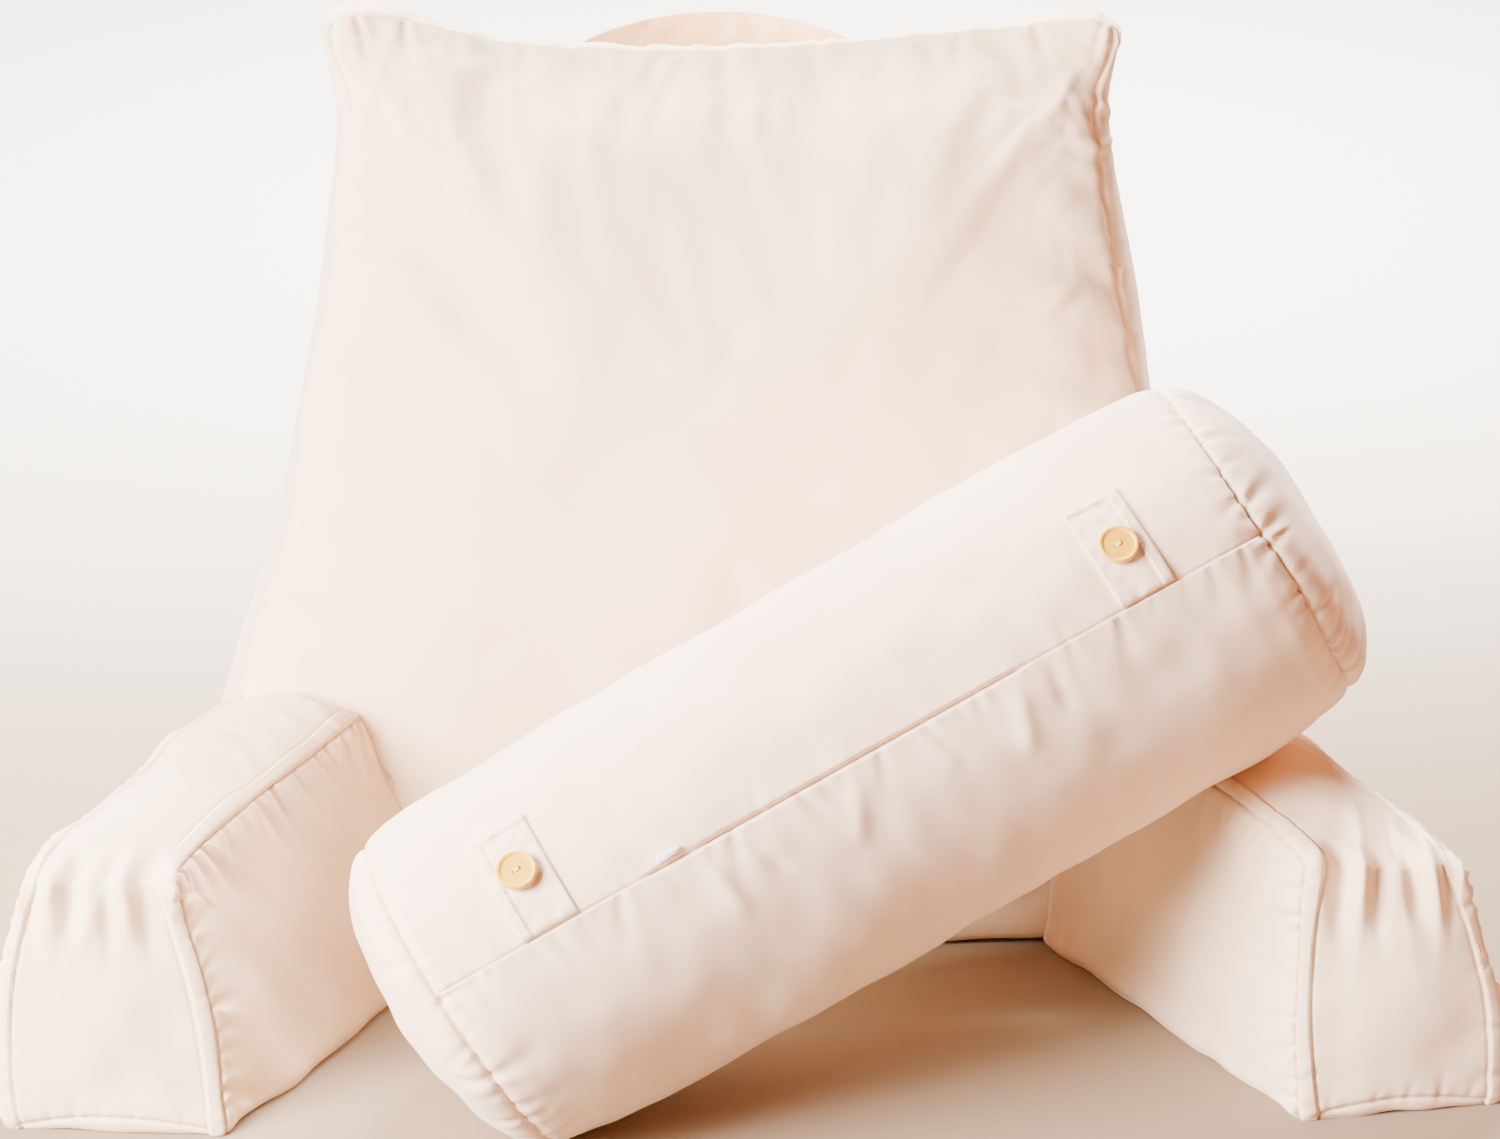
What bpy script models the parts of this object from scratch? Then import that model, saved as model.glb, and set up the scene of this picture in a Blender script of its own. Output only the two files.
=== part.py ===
"""Reading pillow: wedge backrest with two arms and a carry handle, and its loose neck bolster.

Metres, +Z up, +X to the viewer's right, +Y to the back. The origin is the middle of the backrest's base.
"""

import math

import bmesh
import bpy
import numpy as np
from mathutils import Matrix, Vector
from mathutils.bvhtree import BVHTree

CM = 0.01
BASE_Y = 0.325  # the backrest's base centre, measured back from the arms' front
GAP = 0.0004
CREAM = (0.87, 0.80, 0.72)
WOOD = (0.86, 0.68, 0.36)
WHITE = (0.85, 0.84, 0.83)

# Backrest, in centimetres: the tables give heights and half widths
FRONT_FOOT, FRONT_LEAN = 20.0, 0.34
BACK_FOOT, BACK_LEAN = 45.0, -0.14
FRONT_CROWN, BACK_CROWN, SIDE_CROWN = 3.6, 1.8, 1.0
TOP_Y, TOP_THICK = 37.4, 1.6
TOP_SHIFT = -0.45  # the top leans a little to one side
# across (-1 left, 1 right), height of the top edge
TOP_EDGE = (
    (-1.0, 49.2), (-0.94, 50.0), (-0.82, 49.6), (-0.69, 48.5), (-0.56, 47.7), (-0.43, 47.4), (-0.1, 47.1),
    (0.15, 47.2), (0.4, 47.9), (0.6, 48.1), (0.74, 48.5), (0.87, 49.1), (0.94, 49.2), (1.0, 48.5),
)
# height, half width of the front outline
SIDE_EDGE = (
    (0, 29.6), (9.8, 29.3), (11.8, 28.2), (13.9, 27.0), (15.9, 26.0), (18, 25.3), (20, 24.6), (24, 23.9),
    (28, 23.2), (32, 22.5), (36, 21.7), (40, 21.0), (43, 20.6), (45, 20.7), (46.3, 21.3), (47.6, 22.2), (50, 22.2),
)
BACK_ACROSS = (-0.94, -0.8, -0.58, -0.3, 0.0, 0.3, 0.58, 0.8, 0.94)
BACK_DEEP = (-0.72, 0.0, 0.72)
BACK_HIGH = (-0.95, -0.76, -0.5, -0.22, 0.08, 0.36, 0.6, 0.78, 0.88, 0.955)

# Arms, in centimetres from the arm's front: inner and outer outlines at the floor and at the top
# back, inner at floor, inner at top, outer at floor, outer at top, height
ARM_OUTLINE = (
    (-2.0, 28.0, 30.0, 38.9, 37.2, 12.4),
    (0.0, 27.0, 29.6, 38.9, 37.3, 12.6),
    (3.0, 25.0, 28.9, 38.6, 36.8, 13.0),
    (8.0, 22.5, 26.9, 36.8, 34.6, 13.3),
    (12.7, 20.4, 24.7, 34.8, 32.6, 13.4),
    (16.0, 18.7, 23.0, 33.4, 31.3, 13.5),
    (21.0, 15.9, 20.9, 31.6, 29.9, 13.5),
    (25.0, 13.4, 18.8, 30.2, 28.0, 13.3),
    (30.0, 12.0, 17.4, 29.4, 26.8, 12.8),
)
ARM_FRONT = ((-2.2, -0.6), (1.6, 1.4))  # how far back the front's corners are: inner, outer at floor and at top
ARM_LONG = 30.0
ARM_LEAN = -0.7  # how far both arms' tops lean to the left
LEFT_FLOOR_IN = 0.8  # how much further in the left arm's inner side stands on the floor
ARM_FRONT_CROWN, ARM_TOP_CROWN, ARM_SIDE_CROWN = 1.0, 1.2, 0.8
ARM_ALONG = (-0.93, -0.75, -0.42, 0.0, 0.5)
ARM_ACROSS = (-0.82, -0.3, 0.3, 0.82)
ARM_HIGH = (-0.84, -0.3, 0.3, 0.84)

# Bolster, in centimetres: the middles of its two end seams, and its outline from one end to the other
BOLSTER_LEFT = Vector((-15.2, -1.2, 7.4))
BOLSTER_RIGHT = Vector((26.87, 15.0, 25.68))
TO_VIEWER = Vector((-0.0328, -0.9391, 0.342))
END_SLANT, END_LEAN = 0.24, 0.06  # how far the ends run back along it, per distance to the front and up
LEFT_CAP, RIGHT_CAP = 3.2, 3.7
# distance from the left seam, radius
ROLL = (
    (0.0, 8.6), (0.6, 8.95), (1.6, 9.25), (3.2, 9.55), (6.0, 9.8), (10.0, 10.0), (16.0, 10.05),
    (24.0, 10.1), (32.0, 10.1), (39.0, 10.15), (43.5, 10.15), (46.4, 10.0), (47.9, 9.75), (48.6, 9.5), (49.3, 9.15),
)
CAP_STEPS = 6
ROLL_AROUND = 44

# Tabs and buttons on the bolster: distance along it, lower and upper angle on its front, button's angle
TAB_LEFT = dict(along=6.75, low=6.8, high=41.5, button=24.8)
TAB_RIGHT = dict(along=41.8, low=4.2, high=38.0, button=20.0)
TAB_WIDE, TAB_THICK = 3.2, 0.2
TAB_CELLS = (4, 9)
BUTTON_RADIUS, BUTTON_THICK, BUTTON_RIM, BUTTON_DISH = 1.03, 0.34, 0.2, 0.09
HOLE_RADIUS, HOLE_OFF = 0.1, 0.16
ZIP_PULL = dict(along=13.7, angle=8.0, long=1.5, wide=0.5, thick=0.18)

# Carry handle, in centimetres
STRAP_FROM, STRAP_TO, STRAP_BOW, STRAP_LIFT = -10.6, 9.0, 4.6, 1.5
STRAP_LOW, STRAP_HIGH, STRAP_THICK = 42.4, 46.4, 0.25
STRAP_SEWN = 1.3
STRAP_STEPS = 28


def smooth(value):
    """0 to 1 with a level start and end."""
    value = min(max(value, 0.0), 1.0)
    return value * value * (3 - 2 * value)


def column(table, at, place):
    """One column of a table read at a value of its first column."""
    return float(np.interp(at, [row[0] for row in table], [row[place] for row in table]))


def in_row(point):
    """A point in centimetres from the arms' front, in the object's own frame in metres."""
    return Vector((point[0] * CM, point[1] * CM - BASE_Y, point[2] * CM))


def backrest_point(across, deep, high):
    """Places a point of the unit block on the wedge-shaped backrest."""
    up = (high + 1) / 2
    side = abs(across)
    z = up * column(TOP_EDGE, across, 1)
    fill = math.sqrt(max(0.0, 1 - side**5)) * math.sqrt(max(0.0, 1 - up**7)) * smooth(up * 2.4)
    front = FRONT_FOOT + FRONT_LEAN * z - FRONT_CROWN * fill
    back = BACK_FOOT + BACK_LEAN * z + BACK_CROWN * fill
    pinch = smooth((up - 0.9) / 0.1)
    front += (TOP_Y - TOP_THICK / 2 - front) * pinch
    back += (TOP_Y + TOP_THICK / 2 - back) * pinch
    wide = column(SIDE_EDGE, z, 1)
    bulge = SIDE_CROWN * (1 - deep**2) * (1 - pinch)
    x = across * wide + math.copysign(bulge * side**6, across) + TOP_SHIFT * smooth(up * 2)
    return in_row((x, front + (back - front) * (deep + 1) / 2, z))


def arm_point(mirror):
    """Places a point of the unit block on an arm; mirror is -1 for the arm at -X."""

    def place(across, along, high):
        out, t, up = (across * mirror + 1) / 2, (along + 1) / 2, (high + 1) / 2
        (near_in, near_out), (far_in, far_out) = ARM_FRONT
        low = near_in + (near_out - near_in) * out
        top = far_in + (far_out - far_in) * out
        start = low + (top - low) * up
        start -= ARM_FRONT_CROWN * math.sin(math.pi * out) * math.sin(math.pi * (0.1 + 0.8 * up))
        y = start + (ARM_LONG - start) * t
        inner = column(ARM_OUTLINE, y, 1) * (1 - up) + column(ARM_OUTLINE, y, 2) * up
        outer = column(ARM_OUTLINE, y, 3) * (1 - up) + column(ARM_OUTLINE, y, 4) * up
        swell = math.sin(math.pi * up) * ARM_SIDE_CROWN
        inner -= swell * 0.5 + (LEFT_FLOOR_IN * (1 - up) if mirror < 0 else 0)
        outer += swell
        z = up * (column(ARM_OUTLINE, y, 5) + ARM_TOP_CROWN * math.sin(math.pi * out) * smooth(t * 6))
        return in_row(((inner + (outer - inner) * out) * mirror + ARM_LEAN * up * smooth((30 - y) / 8), y, z))

    return place


BOLSTER_LONG = (BOLSTER_RIGHT - BOLSTER_LEFT).length
BOLSTER_ALONG = (BOLSTER_RIGHT - BOLSTER_LEFT).normalized()
BOLSTER_NEAR = (TO_VIEWER - BOLSTER_ALONG * TO_VIEWER.dot(BOLSTER_ALONG)).normalized()
BOLSTER_UP = BOLSTER_NEAR.cross(BOLSTER_ALONG)
if BOLSTER_UP.z < 0:
    BOLSTER_UP.negate()


def bolster_point(along, radius, angle):
    """A point by its distance from the left seam, its radius and its angle up from the side that faces front."""
    near, up = radius * math.cos(angle), radius * math.sin(angle)
    at = along - END_SLANT * near - END_LEAN * up
    point = BOLSTER_LEFT + BOLSTER_ALONG * at + BOLSTER_NEAR * near + BOLSTER_UP * up
    point.z = max(point.z, 0.0)
    return in_row(point)


def on_bolster(along, degrees, lift):
    """A point lifted off the bolster's body, in centimetres."""
    radius = column(ROLL, along * ROLL[-1][0] / BOLSTER_LONG, 1)
    return bolster_point(along, radius + lift, math.radians(degrees))


def material(name, colour, roughness):
    made = bpy.data.materials.new(name)
    made.use_nodes = True
    shader = made.node_tree.nodes["Principled BSDF"]
    shader.inputs["Base Color"].default_value = (*colour, 1)
    shader.inputs["Roughness"].default_value = roughness
    return made


def put(name, mesh, group, surface=None):
    """Adds an object with this mesh to a collection."""
    made = bpy.data.objects.new(name, mesh)
    group.objects.link(made)
    if surface:
        mesh.materials.append(surface)
    for face in mesh.polygons:
        face.use_smooth = True
    return made


def finished(bm, name):
    """The mesh of a bmesh, its faces turned outwards."""
    mesh = bpy.data.meshes.new(name)
    bmesh.ops.recalc_face_normals(bm, faces=bm.faces)
    if bm.calc_volume(signed=True) < 0:
        bmesh.ops.reverse_faces(bm, faces=bm.faces)
    bm.to_mesh(mesh)
    bm.free()
    return mesh


def block(stations, place):
    """A cube cut at its stations along X, Y and Z, each of its points placed by a shape function."""
    bm = bmesh.new()
    bmesh.ops.create_cube(bm, size=2)
    for axis, cuts in enumerate(stations):
        plane = Vector((axis == 0, axis == 1, axis == 2))
        for cut in cuts:
            everything = bm.verts[:] + bm.edges[:] + bm.faces[:]
            bmesh.ops.bisect_plane(bm, geom=everything, plane_co=plane * cut, plane_no=plane)
    for vertex in bm.verts:
        vertex.co = place(*vertex.co)
    return bm


def softened(made):
    soft = made.modifiers.new("soft", "SUBSURF")
    soft.levels = soft.render_levels = 1
    return made


def split(made):
    """Splits a cushion's four-sided faces, so that its cutter splits them the same way."""
    made.modifiers.new("split", "TRIANGULATE").quad_method = "FIXED"
    return made


def grown(source, group):
    """A cutter: a copy of a cushion, larger by the gap all round."""
    made = source.copy()
    made.data = source.data.copy()
    made.name = source.name + "_cutter"
    made.hide_render = True
    made.display_type = "WIRE"
    group.objects.link(made)
    grow = made.modifiers.new("gap", "DISPLACE")
    grow.strength, grow.mid_level = GAP, 0.0
    return made


def cut(made, cutter):
    trim = made.modifiers.new("trim", "BOOLEAN")
    trim.operation, trim.solver, trim.object = "DIFFERENCE", "EXACT", cutter
    return made


def roll_mesh():
    """The neck bolster: a sphere whose rings are moved to the stations of its outline."""
    caps = [i / CAP_STEPS * math.pi / 2 for i in range(CAP_STEPS)]
    first, last = ROLL[0][1], ROLL[-1][1]
    scale = BOLSTER_LONG / ROLL[-1][0]
    outline = [(-LEFT_CAP * math.cos(a) ** 1.1, first * math.sin(a) ** 0.8) for a in caps]
    outline += [(along * scale, radius) for along, radius in ROLL]
    outline += [(BOLSTER_LONG + RIGHT_CAP * math.cos(a) ** 1.1, last * math.sin(a) ** 0.8) for a in reversed(caps)]
    bm = bmesh.new()
    bmesh.ops.create_uvsphere(bm, u_segments=ROLL_AROUND, v_segments=len(outline) - 1, radius=1)
    for vertex in bm.verts:
        ring = round((1 - math.acos(max(-1.0, min(1.0, vertex.co.z))) / math.pi) * (len(outline) - 1))
        angle = math.atan2(vertex.co.y, vertex.co.x)
        vertex.co = bolster_point(*outline[ring], angle)
    return finished(bm, "bolster")


def tab_mesh(name, along, low, high, thick=TAB_THICK, wide=TAB_WIDE, cells=TAB_CELLS):
    """A flat cloth strip that follows the bolster's body: a thin cut cube bent round it."""
    columns, rows = cells

    def place(across, up, out):
        at = along + across * wide / 2
        angle = low + (high - low) * (up + 1) / 2
        return on_bolster(at, angle, GAP / CM + 0.05 + thick * (out + 1) / 2)

    stations = ([2 * i / columns - 1 for i in range(1, columns)], [2 * i / rows - 1 for i in range(1, rows)], ())
    return finished(block(stations, place), name)


def button(name, tab, group, surface, cutters):
    """A turned button: a profile spun round its axis, with two thread holes."""
    r, t, rim, dish = BUTTON_RADIUS * CM, BUTTON_THICK * CM, BUTTON_RIM * CM, BUTTON_DISH * CM
    ease = 0.25 * t
    profile = (
        (0, t - dish), (r - rim - ease, t - dish), (r - rim, t - 0.3 * dish), (r - rim + ease, t),
        (r - ease, t), (r, t - ease), (r, ease), (r - ease, 0), (0, 0),
    )
    mesh = bpy.data.meshes.new(name)
    mesh.from_pydata([(x, 0, z) for x, z in profile], [(i, i + 1) for i in range(len(profile) - 1)], [])
    made = put(name, mesh, group, surface)
    spin = made.modifiers.new("turned", "SCREW")
    spin.steps = spin.render_steps = 32
    spin.use_merge_vertices = True
    spin.merge_threshold = 0.00001
    spin.use_normal_calculate = True
    at, angle = tab["along"], tab["button"]
    along = (on_bolster(at + 1, angle, 0) - on_bolster(at - 1, angle, 0)).normalized()
    round_it = on_bolster(at, angle + 5, 0) - on_bolster(at, angle - 5, 0)
    normal = round_it.cross(along).normalized()
    if normal.y > 0:
        normal.negate()
    middle = on_bolster(at, angle, TAB_THICK + 0.05 + 1.5 * GAP / CM) + normal * GAP
    turn = np.array([along, normal.cross(along), normal]).T
    made.matrix_world = to_matrix(turn, middle)
    for side in (-1, 1):
        bm = bmesh.new()
        bmesh.ops.create_cone(
            bm, cap_ends=True, segments=12, radius1=HOLE_RADIUS * CM, radius2=HOLE_RADIUS * CM, depth=4 * t
        )
        hole = put(f"{name}_hole", finished(bm, "hole"), cutters)
        hole.hide_render = True
        hole.display_type = "WIRE"
        hole.matrix_world = to_matrix(turn, middle + along * side * HOLE_OFF * CM)
        cut(made, hole)
    return made


def to_matrix(turn, at):
    """The pose of an object from its three axes and its place."""
    return Matrix.LocRotScale(at, Matrix(turn.tolist()).to_quaternion(), None)


def strap_mesh(back_surface):
    """The carry handle: a strip bent in plan, its ends flat on the back panel."""
    low, high, thick = STRAP_LOW * CM, STRAP_HIGH * CM, STRAP_THICK * CM
    left, right = STRAP_FROM * CM, STRAP_TO * CM
    sewn = STRAP_SEWN * CM

    def place(along, out, up):
        t = (along + 1) / 2
        x = left + (right - left) * t
        z = low + (high - low) * (up + 1) / 2
        free = min(max((x - left - sewn) / (right - left - 2 * sewn), 0.0), 1.0)
        arc = max(0.0, math.sin(math.pi * free)) ** 0.6
        y = back_surface(x, z) + 1.5 * GAP + STRAP_BOW * CM * arc + thick * (out + 1) / 2
        return Vector((x, y, z + STRAP_LIFT * CM * arc))

    cuts = [2 * i / STRAP_STEPS - 1 for i in range(1, STRAP_STEPS)]
    return finished(block((cuts, (), (-0.5, 0.0, 0.5)), place), "carry_handle")


def main():
    for old in list(bpy.data.objects):
        bpy.data.objects.remove(old)
    pillow = bpy.data.collections.new("reading_pillow")
    cutters = bpy.data.collections.new("cutters")
    for group in (pillow, cutters):
        bpy.context.scene.collection.children.link(group)

    surfaces = {}
    for name in ("backrest", "arm_left", "arm_right", "carry_handle", "bolster", "tab_left", "tab_right"):
        surfaces[name] = material(name + "_cloth", CREAM, 0.9)
    for name in ("button_left", "button_right"):
        surfaces[name] = material(name + "_wood", WOOD, 0.5)
    surfaces["zip_pull"] = material("zip_pull_plastic", WHITE, 0.4)

    shell = block((BACK_ACROSS, BACK_DEEP, BACK_HIGH), backrest_point)
    backrest = split(softened(put("backrest", finished(shell, "backrest"), pillow, surfaces["backrest"])))
    bolster = split(put("bolster", roll_mesh(), pillow, surfaces["bolster"]))
    back_cutter = grown(backrest, cutters)
    roll_cutter = grown(bolster, cutters)
    for name, mirror in (("arm_left", -1), ("arm_right", 1)):
        shell = block((ARM_ACROSS, ARM_ALONG, ARM_HIGH), arm_point(mirror))
        arm = softened(put(name, finished(shell, name), pillow, surfaces[name]))
        cut(arm, back_cutter)
        if mirror > 0:
            cut(arm, roll_cutter)

    bpy.context.view_layer.update()
    tree = BVHTree.FromObject(backrest, bpy.context.evaluated_depsgraph_get())

    def back_surface(x, z):
        """How far back the backrest's back panel is at a point."""
        hit = tree.ray_cast(Vector((x, 1.0, z)), Vector((0, -1, 0)))[0]
        return hit.y

    put("carry_handle", strap_mesh(back_surface), pillow, surfaces["carry_handle"])
    for side, tab in (("left", TAB_LEFT), ("right", TAB_RIGHT)):
        name = "tab_" + side
        put(name, tab_mesh(name, tab["along"], tab["low"], tab["high"]), pillow, surfaces[name])
        name = "button_" + side
        button(name, tab, pillow, surfaces[name], cutters)
    pull = ZIP_PULL
    half = math.degrees(pull["wide"] / 2 / ROLL[6][1])
    mesh = tab_mesh(
        "zip_pull", pull["along"], pull["angle"] - half, pull["angle"] + half, pull["thick"], pull["long"], (3, 2)
    )
    put("zip_pull", mesh, pillow, surfaces["zip_pull"])


main()
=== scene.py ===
"""Looks of a reading pillow and its neck bolster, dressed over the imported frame.

Metres, +Z up, +X to the viewer's right, +Y to the back, the same frame as the solids. Tables of outlines are
in centimetres, counted back from the arms' front, as a maker would measure them.
"""

import logging
import math
from collections.abc import Callable, Sequence
from dataclasses import dataclass, field
from enum import Enum

import bpy
import numpy as np
from mathutils import Matrix, Vector
from mathutils.bvhtree import BVHTree

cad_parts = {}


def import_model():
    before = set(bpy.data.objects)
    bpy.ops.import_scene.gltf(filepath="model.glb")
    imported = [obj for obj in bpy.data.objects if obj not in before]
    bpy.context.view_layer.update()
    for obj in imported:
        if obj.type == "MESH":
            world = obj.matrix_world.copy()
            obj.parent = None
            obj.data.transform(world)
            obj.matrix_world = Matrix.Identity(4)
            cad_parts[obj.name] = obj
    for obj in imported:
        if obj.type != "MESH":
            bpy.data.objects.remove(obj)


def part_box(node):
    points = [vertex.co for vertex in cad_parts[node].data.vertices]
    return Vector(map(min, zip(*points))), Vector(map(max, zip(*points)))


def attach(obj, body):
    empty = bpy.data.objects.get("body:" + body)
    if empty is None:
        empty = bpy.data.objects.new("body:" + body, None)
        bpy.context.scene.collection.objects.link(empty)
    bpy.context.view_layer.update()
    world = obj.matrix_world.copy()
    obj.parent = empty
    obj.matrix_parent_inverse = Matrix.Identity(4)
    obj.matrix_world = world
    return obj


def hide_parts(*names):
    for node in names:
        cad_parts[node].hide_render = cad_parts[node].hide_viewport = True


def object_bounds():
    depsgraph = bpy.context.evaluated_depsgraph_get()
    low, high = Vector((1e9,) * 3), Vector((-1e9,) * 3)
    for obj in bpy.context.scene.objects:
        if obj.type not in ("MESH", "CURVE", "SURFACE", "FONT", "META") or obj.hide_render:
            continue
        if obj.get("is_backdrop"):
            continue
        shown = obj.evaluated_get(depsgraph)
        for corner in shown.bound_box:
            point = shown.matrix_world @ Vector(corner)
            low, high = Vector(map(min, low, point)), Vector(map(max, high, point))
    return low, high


log = logging.getLogger("reading_pillow")

CM = 0.01
MM = 0.001
# How far the frame's origin is behind the arms' front, in metres.
BASE_Y = 0.325
# The bolster's nominal radius in centimetres, for what is measured round it.
ROLL_RADIUS = 10.0
Points = np.ndarray
Table = Sequence[Sequence[float]]


def linear(code: str) -> tuple[float, float, float, float]:
    """A linear colour from an sRGB code.

    Args:
        code: six hex digits, such as "efe2d3".

    Returns:
        Red, green, blue and an alpha of one.
    """
    parts = [int(code[i : i + 2], 16) / 255 for i in (0, 2, 4)]
    red, green, blue = (v / 12.92 if v <= 0.04045 else ((v + 0.055) / 1.055) ** 2.4 for v in parts)
    return red, green, blue, 1.0


def smooth(value: Points | float) -> Points:
    """0 to 1 with a level start and end."""
    value = np.clip(value, 0.0, 1.0)
    return value * value * (3 - 2 * value)


def column(table: Table, at: Points | float, place: int) -> Points:
    """Reads one column of a table.

    Args:
        table: rows whose first column rises.
        at: values of the first column.
        place: the column to read.

    Returns:
        The column's values there.
    """
    rows = np.asarray(table, float)
    return np.interp(at, rows[:, 0], rows[:, place])


def in_row(x: Points, y: Points, z: Points) -> Points:
    """Centimetres from the arms' front made metres in the object's frame."""
    return np.stack([x * CM, y * CM - BASE_Y, z * CM], axis=-1)


def between(first: Points | float, last: Points | float, part: Points | float) -> Points:
    """What lies a part of the way from the first value to the last."""
    return first + (last - first) * part


def linked(name: str, data: bpy.types.ID) -> bpy.types.Object:
    """Makes an object of the data and puts it in the scene."""
    made = bpy.data.objects.new(name, data)
    bpy.context.scene.collection.objects.link(made)
    return made


@dataclass(frozen=True)
class Ripple:
    """Smooth random relief: a few dozen plane waves of about one length.

    Attributes:
        length: the wave length in metres.
        seed: picks the waves.
        waves: how many are summed.
    """

    length: float
    seed: int
    waves: int = 28

    def at(self, where: Points) -> Points:
        """Finds the relief at some points.

        Args:
            where: the points, of one, two or three coordinates.

        Returns:
            The relief, from about -2 to 2.
        """
        where = where.reshape(len(where), -1)
        rng = np.random.default_rng(self.seed)
        total = np.zeros(len(where))
        for _ in range(self.waves):
            way = rng.normal(size=where.shape[1])
            way *= rng.uniform(0.6, 1.5) * 2 * math.pi / self.length / np.linalg.norm(way)
            total += np.cos(where @ way + rng.uniform(0, 2 * math.pi))
        return total / math.sqrt(self.waves / 2)


@dataclass
class Line:
    """A path on the cloth, such as a seam, a welt or a fold.

    Attributes:
        points: its points in metres, in order.
    """

    points: Points

    def near(self, where: Points, reach: float) -> tuple[Points, Points, Points]:
        """Finds the points close to the line.

        Args:
            where: points to measure.
            reach: the furthest that counts, in metres.

        Returns:
            Their indices, how far along the line they are, and how far from it, in metres.
        """
        low, high = self.points.min(axis=0) - reach, self.points.max(axis=0) + reach
        chosen = np.flatnonzero(((where > low) & (where < high)).all(axis=1))
        start, way = self.points[:-1], np.diff(self.points, axis=0)
        long = np.linalg.norm(way, axis=1)
        before = np.concatenate([[0], np.cumsum(long)[:-1]])
        best = np.full(len(chosen), np.inf)
        along = np.zeros(len(chosen))
        close = where[chosen]
        for first, step, size, gone in zip(start, way, long, before, strict=True):
            if size < 1e-9:
                continue
            part = np.clip((close - first) @ step / size**2, 0, 1)
            away = np.linalg.norm(close - first - part[:, None] * step, axis=1)
            nearer = away < best
            best[nearer] = away[nearer]
            along[nearer] = gone + part[nearer] * size
        kept = best < reach
        return chosen[kept], along[kept], best[kept]

    @property
    def length(self) -> float:
        """How long the line is, in metres."""
        return float(np.linalg.norm(np.diff(self.points, axis=0), axis=1).sum())

    def even(self, step: float) -> "Line":
        """The same line with points a step apart."""
        gone = np.concatenate([[0], np.cumsum(np.linalg.norm(np.diff(self.points, axis=0), axis=1))])
        at = np.linspace(0, gone[-1], max(2, round(gone[-1] / step) + 1))
        return Line(np.stack([np.interp(at, gone, self.points[:, i]) for i in range(3)], axis=1))


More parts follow.
